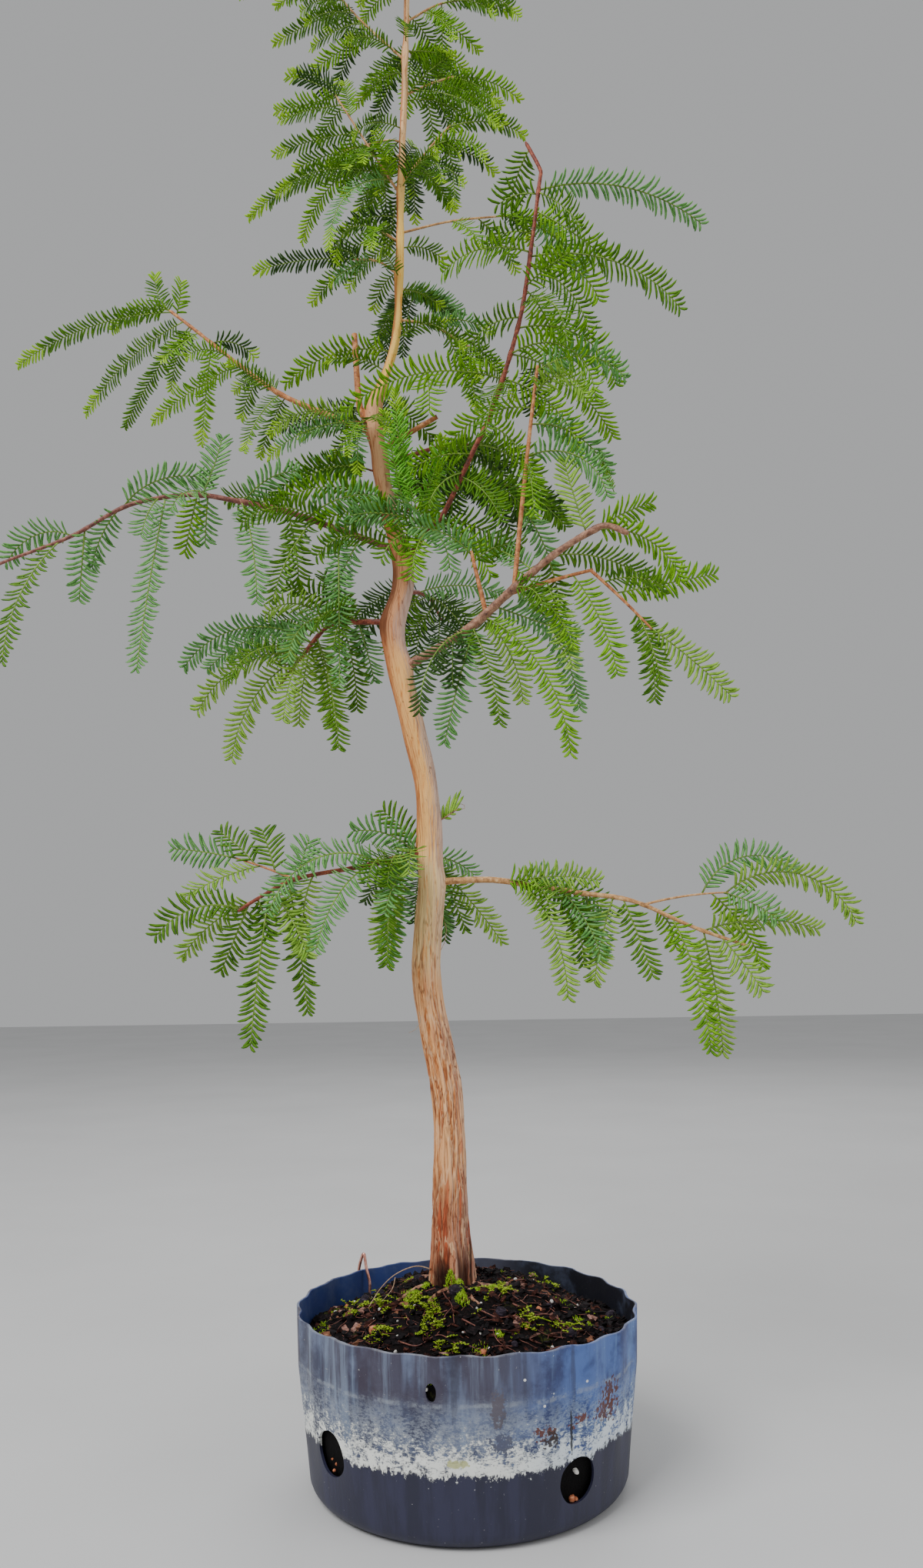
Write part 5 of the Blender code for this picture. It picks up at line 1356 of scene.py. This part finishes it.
def pot_finish():
    pot = Finish("pot_plastic", 0.5)
    x, y, height = pot.axis("X"), pot.axis("Y"), pot.axis("Z")
    # Painted light: the share of the wall that turns blue on the right, where the light falls from.
    painted_right_light = x.band(0.015, 0.085)
    wobble = pot.noise(30.0, 7.0, (1.0, 1.0, 0.6), 0.62) - 0.5
    teeth = pot.noise(300.0, 7.0, (1.0, 1.0, 0.5), 0.75) - 0.5
    ragged = height + wobble * 0.016 + teeth * 0.026
    grain = pot.noise(420.0, 4.0)
    streaks = pot.noise(80.0, 7.0, (1.0, 1.0, 0.07), 0.62)
    broad = pot.noise(46.0, 4.0, (1.0, 1.0, 0.14))
    cloud = pot.noise(24.0, 6.0, roughness=0.65)
    mottle = pot.noise(110.0, 7.0, roughness=0.75)
    damp = pot.mix(streaks.band(0.42, 0.62) * 0.7, tint(36, 37, 58), tint(50, 51, 78))
    slate = pot.mix(cloud.band(0.40, 0.60), tint(58, 62, 86), tint(102, 113, 140))
    blue = pot.mix(cloud.band(0.40, 0.60), tint(34, 60, 126), tint(72, 108, 182))
    above_line = ragged.band(0.053, 0.056)
    body = pot.mix(above_line, damp, pot.mix(painted_right_light * 0.75, slate, blue))
    under_rim = height.band(0.092, 0.108) * (1 - painted_right_light) * broad.band(0.42, 0.56)
    body = pot.mix(under_rim * 0.75, body, tint(54, 42, 58))
    pale_streak = pot.mix(painted_right_light, tint(142, 160, 186), tint(126, 162, 214))
    body = pot.mix(streaks.band(0.50, 0.68) * above_line * 0.5, body, pale_streak)
    body = pot.mix((1 - streaks.band(0.32, 0.44)) * above_line * 0.55, body, tint(48, 46, 62))
    scales = pot.noise(230.0, 6.0, (1.0, 1.0, 2.4), 0.7)
    crumbs = pot.noise(460.0, 5.0, (1.0, 1.0, 1.8), 0.75)
    haze = mottle * 0.4 + scales * 0.3 + crumbs * 0.3
    pale_band = above_line * (1 - ragged.band(0.072, 0.112)) * haze.band(0.45, 0.53)
    body = pot.mix(pale_band * 0.75, body, pot.mix(painted_right_light * 0.6, tint(158, 166, 178), tint(146, 174, 210)))
    nearly_level = height + wobble * 0.006
    upper_line = nearly_level.band(0.0985, 0.1003) * (1 - nearly_level.band(0.1012, 0.1034))
    body = pot.mix(upper_line * streaks.band(0.36, 0.5) * mottle.band(0.4, 0.55) * 0.4, body, tint(160, 168, 178))
    thinning = ragged.band(0.050, 0.100)
    broken_up = mottle * 0.45 + scales * 0.25 + crumbs * 0.30 + teeth * 0.2 - thinning * 0.17
    broken_up = broken_up + (streaks - 0.5) * 0.12
    crust = ragged.band(0.0515, 0.0530) * broken_up.band(0.42, 0.49)
    lime = pot.mix(painted_right_light * 0.5, tint(246, 248, 242), tint(206, 226, 248))
    body = pot.mix(crust * 0.94, body, lime)
    body = pot.mix(grain.band(0.70, 0.75) * 0.6, body, tint(208, 208, 208))
    front = 1 - y.band(-0.03, 0.0)
    flakes = pot.noise(340.0, 2.0)
    for right, rise, half_width, half_height, broken, color in STAINS_AND_SHADOWS:
        across = (x - right * MM) * (1 / (half_width * MM))
        along = (height - rise * MM) * (1 / (half_height * MM))
        far = across * across + along * along + (flakes - 0.5) * broken
        body = pot.mix((1 - far.band(0.7, 1.2)) * front * 0.9, body, color)
    edge = x.maths("MAXIMUM", x * (1 / RIM_RADIUS), 0.0)
    rim_wear = (height + edge * edge * RIM_DIP).band(0.1338, 0.1350) * streaks.band(0.36, 0.56)
    body = pot.mix(rim_wear * 0.4, body, tint(150, 152, 160))
    facing = pot.node("ShaderNodeTexCoord", output="Normal")
    faces_in = 1 - (pot.node("ShaderNodeSeparateXYZ", {}, {0: facing}, "X") * x
                    + pot.node("ShaderNodeSeparateXYZ", {}, {0: facing}, "Y") * y).band(-0.06, -0.02)
    # The inside of the wall: painted light makes it blue on the left, painted shade makes it dark on the right.
    inner = pot.mix(x.band(-0.07, -0.02), tint(46, 66, 128), tint(74, 76, 92))
    inner = pot.mix(x.band(0.02, 0.07), inner, tint(26, 27, 36))
    inner = pot.mix(cloud.band(0.48, 0.66) * 0.35, inner, tint(104, 116, 146))
    pot.set("Base Color", pot.mix(faces_in, body, inner))
    pot.set("Roughness", 0.42 + 0.35 * crust + 0.14 * streaks)
    return pot.bump(crust * 0.6 + grain * 0.25 + streaks * 0.15, 0.0009, 0.6)


cut_mesh.materials.clear()
cut_mesh.materials.append(pot_finish().material)
cut_mesh.shade_smooth()
cut_mesh.set_sharp_from_angle(angle=math.radians(38))
dress(pot_can, ("pot",))

# %% [markdown]
# The soil is a coarse mix that mounds up to the trunk. A displaced disc gives the bed, and the mix on
# it is modelled bit by bit: bark chips are flat, broken blocks, and pumice is rounded and pale. What
# makes it read as real is that no two bits share a size, a tilt or a depth.

# %% Soil bed
SOIL_TOP = 150 * MM
SOIL_EDGE = 113 * MM
SOIL_FLAT = 36 * MM
BED_RINGS = 70
BED_AROUND = 200
TRUNK_FOOT = trunk_at(bottom)[0]


def bed_edge(z):
    return wall_radius(z) - CAN_WALL - FLUTE_DEPTH


def soil_height(x, y):
    """The height of the bed: a mound that falls to the wall, with hollows and hummocks."""
    radius = math.hypot(x, y)
    share = min(1.0, max(0.0, (radius - SOIL_FLAT) / (bed_edge(SOIL_EDGE) - SOIL_FLAT)))
    base = SOIL_TOP - (SOIL_TOP - SOIL_EDGE) * (1 - math.cos(math.pi * share)) / 2
    lumps = 3.4 * noise.noise(Vector((x, y, 0.0)) * 38) + 1.6 * noise.noise(Vector((x, y, 0.4)) * 110)
    return base + (lumps - 1.2) * MM


bed_rings = np.empty((BED_RINGS + 2, BED_AROUND, 3))
for k in range(BED_AROUND):
    angle = math.tau * k / BED_AROUND
    for i in range(BED_RINGS):
        radius = bed_edge(SOIL_EDGE) * (i + 1) / BED_RINGS
        x, y = radius * math.cos(angle), radius * math.sin(angle)
        rough = 0.9 * MM * noise.noise(Vector((x, y, 0.9)) * 420)
        bed_rings[i, k] = (x, y, soil_height(x, y) + rough)
    for i, z in ((BED_RINGS, 60 * MM), (BED_RINGS + 1, 8 * MM)):
        radius = bed_edge(z) - 3 * MM * (z < 20 * MM)
        bed_rings[i, k] = (radius * math.cos(angle), radius * math.sin(angle), z)
bed = Store()
add_rings(bed, bed_rings)


def soil_finish():
    soil = Finish("soil_mix", 0.95, shine=DULL)
    crumbs = soil.noise(330.0, 6.0, roughness=0.7)
    patches = soil.noise(34.0, 3.0)
    dark = soil.ramp(crumbs, [
        (0.30, tint(5, 3, 4)),
        (0.50, tint(13, 8, 9)),
        (0.66, tint(36, 21, 19)),
        (0.78, tint(92, 60, 50)),
    ])
    mossy = patches.band(0.60, 0.70) * crumbs.band(0.42, 0.56)
    top = soil.mix(mossy * 0.6, dark, tint(84, 92, 34))
    # Painted shade: below 10 cm the soil, seen only through the drain holes, is painted near black.
    soil.set("Base Color", soil.mix(soil.axis("Z").band(0.09, 0.11), tint(10, 8, 8), top))
    return soil.bump(crumbs, 0.003, 0.9)


bed.piece("soil_bed", soil_finish(), "soil_mix", ("soil",))

# %% Loose bits
scatter = random.Random(SEED + 500)
CUBE = np.array([(x, y, z) for x in (-1, 1) for y in (-1, 1) for z in (-1, 1)], float) / 2
CUBE_FACES = np.array([(0, 1, 3, 2), (4, 6, 7, 5), (0, 4, 5, 1), (2, 3, 7, 6), (0, 2, 6, 4), (1, 5, 7, 3)])


def random_spot(clear=20 * MM, margin=5 * MM):
    """A spot on the soil that is clear of the trunk and of the pot's wall."""
    while True:
        radius = (bed_edge(SOIL_EDGE) - margin) * math.sqrt(scatter.random())
        angle = scatter.uniform(0, math.tau)
        x, y = radius * math.cos(angle), radius * math.sin(angle)
        if math.hypot(x - TRUNK_FOOT.x, y - TRUNK_FOOT.y) > clear:
            return x, y


def turned_frame(tilt):
    """A random turn about Z with a tilt, as a matrix of three rows."""
    spin = Matrix.Rotation(scatter.uniform(0, math.tau), 3, "Z")
    lean = Matrix.Rotation(scatter.gauss(0, tilt), 3, "X")
    roll = Matrix.Rotation(scatter.gauss(0, tilt), 3, "Y")
    return np.array(spin @ lean @ roll)


def add_chip(store, length, width, depth, tilt):
    """A flat broken block of bark, half sunk in the bed."""
    x, y = random_spot()
    shape = CUBE * np.array((length, width, depth))
    shape = shape * np.array([[scatter.uniform(0.6, 1.15) for _ in range(3)] for _ in range(8)])
    place = np.array((x, y, soil_height(x, y) + depth * 0.25))
    store.add(shape @ turned_frame(tilt).T + place, CUBE_FACES)


def chip_finish(name, dark, body, light):
    finish = Finish(name, 0.85, shine=DULL)
    lines = finish.noise(260.0, 5.0, (1.0, 1.0, 3.0))
    finish.set("Base Color", finish.ramp(lines, [(0.32, dark), (0.52, body), (0.7, light)]))
    return finish.bump(lines, 0.0012, 0.8)


CHIPS = {
    "chips_dark": (1500, tint(4, 3, 4), tint(15, 10, 13), tint(50, 36, 38)),
    "chips_brown": (480, tint(24, 11, 9), tint(56, 27, 21), tint(104, 60, 46)),
    "chips_tan": (60, tint(84, 50, 36), tint(138, 92, 68), tint(178, 132, 104)),
    "chips_pink": (46, tint(96, 66, 58), tint(150, 110, 98), tint(190, 154, 140)),
}
for name, (count, dark, body, light) in CHIPS.items():
    store = Store()
    for _ in range(count):
        size = scatter.uniform(3.5, 10.5) * MM
        add_chip(store, size, size * scatter.uniform(0.35, 0.8), size * scatter.uniform(0.14, 0.34), 0.45)
    store.piece(name, chip_finish(name, dark, body, light), "soil_mix", smooth=False)

grain_seed = bmesh.new()
bmesh.ops.create_icosphere(grain_seed, subdivisions=2, radius=1.0)
GRAIN = np.array([vertex.co[:] for vertex in grain_seed.verts])
GRAIN_FACES = np.array([[vertex.index for vertex in face.verts] for face in grain_seed.faces])
grain_seed.free()


def add_grain(store, x, y, size, z=None):
    """A rounded, lumpy stone, on the bed if its height is not given."""
    shift = Vector([scatter.uniform(-9, 9) for _ in range(3)])
    lumps = np.array([1 + 0.32 * noise.noise(Vector(point) * 1.3 + shift) for point in GRAIN])
    stretch = np.array([scatter.uniform(0.7, 1.25) for _ in range(3)])
    place = np.array((x, y, soil_height(x, y) + size * 0.35 if z is None else z))
    store.add((GRAIN * lumps[:, None] * stretch * size) @ turned_frame(1.0).T + place, GRAIN_FACES)


pumice, pebbles, clods = Store(), Store(), Store()
for _ in range(80):
    x, y = random_spot()
    add_grain(pumice, x, y, scatter.uniform(0.6, 1.9) * MM)
for x, y, size in ((-74, -53, 3.6), (-104, 52, 3.6), (58, -40, 2.6), (12, -96, 2.4), (46, -70, 1.8)):
    add_grain(pebbles, x * MM, y * MM, size * MM)
add_grain(clods, -9 * MM, -36 * MM, 5.5 * MM)
for _ in range(22):
    x, y = random_spot()
    add_grain(clods, x, y, scatter.uniform(2.5, 5.5) * MM)
# What shows in the drain holes: white pumice and orange bits of bark
for x, y, z, size in ((78, -102, 43, 2.6), (-30, -134.5, 111.5, 1.5)):
    add_grain(pumice, x * MM, y * MM, size * MM, z * MM)
for x, y, z, size in ((75, -101, 23.5, 2.4), (78, -99, 22.5, 2.0), (-101.5, -80.5, 37, 1.6),
                      (-100, -79.5, 41, 1.2), (-103, -80.5, 45, 1.0)):
    add_grain(pebbles, x * MM, y * MM, size * MM, z * MM)
pumice_finish = chip_finish("pumice", tint(156, 152, 146), tint(214, 211, 205), tint(240, 238, 234))
pumice.piece("pumice_grains", pumice_finish, "soil_mix")
pebble_finish = chip_finish("pebbles", tint(128, 66, 40), tint(196, 118, 82), tint(224, 160, 124))
pebbles.piece("pink_pebbles", pebble_finish, "soil_mix")
clod_finish = chip_finish("clods", tint(20, 14, 20), tint(44, 36, 46), tint(82, 72, 84))
clods.piece("damp_clods", clod_finish, "soil_mix")

# %% [markdown]
# Moss grows where the soil stays damp, as bright cushions against the trunk's front and thin patches
# elsewhere. A cushion is hundreds of tiny upright blades on a low dome. Creeping weeds with round
# leaflets stand in clumps, and dry needles and fine reddish roots lie between. They are small, but the
# eye reads the age of the pot from them. The clumps and roots that show best have a place of their own.

# %% Moss
BLADE = np.array([(-0.5, 0, 0), (0.5, 0, 0), (0, 0.6, 0), (0.05, 0.1, 1.0)])
BLADE_FACES = np.array([(0, 2, 1), (0, 1, 3), (1, 2, 3), (2, 0, 3)])
FRONT_MOSS = [
    (-13, -20, 5, 15), (-6, -22, 5, 8), (-6, -36, 5, 5), (-32, -14, 6, 3), (6, -26, 5, 2),
    (-44, -30, 7, 2), (22, -20, 6, 2), (-4, -52, 6, 6),
]
moss = Store()


def add_cushion(x, y, radius, dome, blades):
    """A cushion of moss: upright blades on a dome."""
    for _ in range(blades):
        reach = radius * math.sqrt(scatter.random())
        angle = scatter.uniform(0, math.tau)
        bx, by = x + reach * math.cos(angle), y + reach * math.sin(angle)
        rise = dome * (1 - (reach / radius) ** 2)
        size = np.array((0.9 * MM, 0.9 * MM, scatter.uniform(1.6, 3.6) * MM))
        place = np.array((bx, by, soil_height(bx, by) + rise - 0.6 * MM))
        moss.add((BLADE * size) @ turned_frame(0.3).T + place, BLADE_FACES)


for x, y, radius, dome in FRONT_MOSS:
    add_cushion(x * MM, y * MM, radius * MM, dome * MM, 260)
for _ in range(30):
    x, y = random_spot(34 * MM)
    add_cushion(x, y, scatter.uniform(3, 8) * MM, 1 * MM, 70)
moss_finish = chip_finish("moss", tint(104, 138, 20), tint(154, 194, 38), tint(204, 230, 86))
moss.piece("moss_cushions", moss_finish, "soil_mix")

# %% Dry needles and roots
ROOTS = [
    [(-60, -37), (-50, -46), (-46, -60), (-36, -70), (-28, -84)], [(-4, -72), (14, -80), (32, -76), (54, -80)],
    [(-20, -30), (-17, -46), (-12, -58), (-10, -74)], [(-26, -22), (-40, -30), (-56, -28), (-70, -36)],
    [(4, -16), (20, -22), (30, -36), (48, -42)], [(-22, -26), (-28, -44), (-24, -60)],
    [(10, -60), (24, -66), (40, -62), (58, -70), (72, -66)], [(-6, -88), (10, -94), (26, -90), (42, -96)],
    [(36, -50), (52, -54), (66, -46), (84, -52)], [(-52, -78), (-38, -84), (-22, -82), (-8, -90)],
    [(60, -84), (74, -74), (90, -70)], [(20, -104), (36, -100), (54, -104), (68, -96)],
]
# Roots of the tree that run over the mound: their line, and their thickness at both ends.
TREE_ROOTS = [
    ([(-13, -17), (-18, -26), (-24, -36), (-31, -46)], 3.4, 1.8),
    ([(-4, -16), (2, -26), (4, -40), (10, -50)], 3.2, 1.0),
    ([(-26, -10), (-38, -14), (-48, -24), (-62, -30)], 2.8, 0.9),
    ([(4, -6), (16, -12), (28, -14), (42, -24)], 2.8, 0.9),
    ([(-10, -18), (-8, -30), (-3, -44)], 2.4, 0.9), ([(-4, 16), (6, 28), (8, 44)], 3.0, 1.0),
    ([(-24, 10), (-38, 22), (-50, 26)], 3.0, 1.0),
]
# Dry runners and hair-like shoots that stand clear of the soil and the trunk.
STRAYS = [
    ([(-29, -8, 162), (-42, -14, 166), (-58, -22, 162), (-70, -30, 153), (-79, -40, 141)], 0.55),
    ([(-2, 0, 547), (3.6, -1, 546.8), (4.7, -1, 549.3), (1.8, -1, 551.4), (-2, -1, 550.2)], 0.35),
    ([(-37, -13, 372), (-36, -16, 364), (-41, -16, 357), (-46, -16, 355)], 0.3),
    ([(-18, -10, 424), (-15, -12, 430), (-13, -12, 440), (-14, -12, 447)], 0.3),
    ([(-58, -28, 161), (-60, -34, 154), (-68, -40, 146)], 0.35),
]
litter, tree_roots, strays = Store(), Store(), Store()


def lay_line(store, spots, lift, thick, thin):
    """A thin tube laid on the bed through the given spots."""
    line = Route([Vector((spot[0], spot[1], soil_height(spot[0], spot[1]) + lift)) for spot in spots])
    points = line.sampled(3 * MM)
    add_tube(store, points, [thick + (thin - thick) * k / len(points) for k in range(len(points))], 5)


for _ in range(230):
    x, y = random_spot(margin=16 * MM)
    heading = scatter.uniform(0, 360)
    half = heading_vector(heading) * scatter.uniform(3, 7) * MM
    bend = heading_vector(heading + 90) * half.length * scatter.uniform(-0.3, 0.3)
    line = Route([Vector((x, y, soil_height(x, y) + 1.6 * MM)) + step for step in (-half, bend, half)])
    points = line.sampled(3 * MM)
    add_tube(litter, points, [0.28 * MM] * len(points), 4)
for _ in range(90):
    spots = [random_spot(margin=30 * MM)]
    heading = scatter.uniform(0, 360)
    for _ in range(4):
        heading += scatter.uniform(-45, 45)
        step = heading_vector(heading) * scatter.uniform(4, 7) * MM
        spots.append((spots[-1][0] + step.x, spots[-1][1] + step.y))
    lay_line(litter, spots, 1.6 * MM, 0.42 * MM, 0.2 * MM)
for root in ROOTS:
    lay_line(litter, [(x * MM, y * MM) for x, y in root], 1.6 * MM, 0.75 * MM, 0.35 * MM)
for spots, thick, thin in TREE_ROOTS:
    lay_line(tree_roots, [(x * MM, y * MM) for x, y in spots], 0.5 * MM, thick * MM, thin * MM)
for points, thick in STRAYS:
    line = Route([Vector(point) * MM for point in points]).sampled(3 * MM)
    add_tube(strays, line, [thick * MM * (1 - 0.5 * k / len(line)) for k in range(len(line))], 5)
tree_roots.piece("tree_roots", TWIG_BARKS["brown_tan"], "bark")
straw_finish = twig_finish("dry_straw", tint(120, 92, 70), tint(168, 138, 110), tint(206, 182, 154))
strays.piece("dry_runners", straw_finish, "bark")
litter_finish = twig_finish("dry_litter", tint(56, 26, 22), tint(102, 54, 44), tint(152, 98, 80))
litter.piece("dry_needles_and_roots", litter_finish, "soil_mix")

# %% Creeping weeds
CLUMPS = [
    (-38, -40, 9), (-30, -58, 8), (-27, -74, 9), (-16, -94, 8), (-67, -26, 8), (-64, -64, 9),
    (-96, 40, 8), (27, -33, 7), (46, -64, 6), (78, -50, 7), (-84, -8, 7), (64, 30, 7),
]
RUNNERS = [[(44, -62), (56, -58), (68, -54), (81, -48)]]
LEAFLET = np.array([(math.cos(a), math.sin(a), 0.0) for a in np.arange(6) * math.tau / 6]
                   + [(0.0, 0.0, 0.35), (0.0, 0.0, -0.35)])
LEAFLET_FACES = np.array([(k, (k + 1) % 6, 6) for k in range(6)] + [((k + 1) % 6, k, 7) for k in range(6)])
weeds, weed_stems = Store(), Store()


def add_frond(x, y):
    """A short arching stem with round leaflets on both sides."""
    row = (0, scatter.uniform(0, 360), scatter.uniform(20, 65), scatter.uniform(7, 15), scatter.uniform(30, 80))
    route = shoot_route(Vector((x, y, soil_height(x, y) - 0.5 * MM)), row, 3 * MM)
    add_tube(weed_stems, route.sampled(3 * MM), [0.25 * MM] * len(route.sampled(3 * MM)), 3)
    across = heading_vector(row[1] + 90)
    mark, hand = 2 * MM, 1
    while mark < route.length:
        size = scatter.uniform(0.8, 1.35) * MM
        place = route.at(mark) + across * hand * 1.3 * MM
        weeds.add((LEAFLET * size) @ turned_frame(0.5).T + np.array(place), LEAFLET_FACES)
        mark, hand = mark + 1.4 * MM, -hand


for x, y, spread in CLUMPS:
    for _ in range(16):
        add_frond((x + scatter.gauss(0, spread / 2)) * MM, (y + scatter.gauss(0, spread / 2)) * MM)
for _ in range(24):
    add_frond(*random_spot(30 * MM, 12 * MM))
for runner in RUNNERS:
    lay_line(weed_stems, [(x * MM, y * MM) for x, y in runner], 3 * MM, 0.6 * MM, 0.4 * MM)
weed_finish = chip_finish("weeds", tint(96, 124, 20), tint(146, 172, 40), tint(196, 210, 80))
weeds.piece("creeping_weeds", weed_finish, "soil_mix")
weed_stems.piece("weed_stems", weed_finish, "soil_mix")

# %% [markdown]
# A piece of soft copper wire hooks over the back edge, the kind that bonsai growers pull a trunk down
# with. It is an even round wire, so a tube along a smooth line is all that it needs, with a finish
# that noise makes brighter and glossier in some patches and duller in others.

# %% Copper wire
WIRE_RADIUS = 1.4 * MM
WIRE_HEADING = 133
WIRE_FOOT = 130 * MM
wire_out = heading_vector(WIRE_HEADING)
wire_lean = heading_vector(WIRE_HEADING + 90) * 1.5 * MM
wire_inside = RIM_RADIUS - CAN_WALL - FLUTE_DEPTH - WIRE_RADIUS - 0.3 * MM
wire_outside = RIM_RADIUS + FLUTE_DEPTH + WIRE_RADIUS + 0.3 * MM
wire_line = smooth([
    wire_out * WIRE_FOOT + UP * (SOIL_EDGE + 1 * MM),
    wire_out * (WIRE_FOOT + 1 * MM) - wire_lean * 0.5 + UP * (CAN_HEIGHT - 9 * MM),
    wire_out * wire_inside + UP * (CAN_HEIGHT + 2 * MM),
    wire_out * (wire_inside + 4 * MM) + UP * (CAN_HEIGHT + 14 * MM),
    wire_out * wire_outside + wire_lean + UP * (CAN_HEIGHT + 2 * MM),
    wire_out * wire_outside + wire_lean * 1.5 + UP * (CAN_HEIGHT - 12 * MM),
], 60)
wire = Store()
add_tube(wire, wire_line, [WIRE_RADIUS] * len(wire_line), 12)
copper = Finish("copper", 0.38, 1.0)
dull = copper.noise(180.0, 4.0)
copper.set("Base Color", copper.ramp(dull, [(0.35, tint(196, 132, 116)), (0.65, tint(246, 190, 172))]))
copper.set("Roughness", 0.25 + 0.35 * dull)
wire.piece("copper_wire", copper, "copper", ("rim_wire",))

# %% Sizes and finish
print("pieces:", len(made_pieces), "triangles:", sum(faces for name, faces in made_pieces))
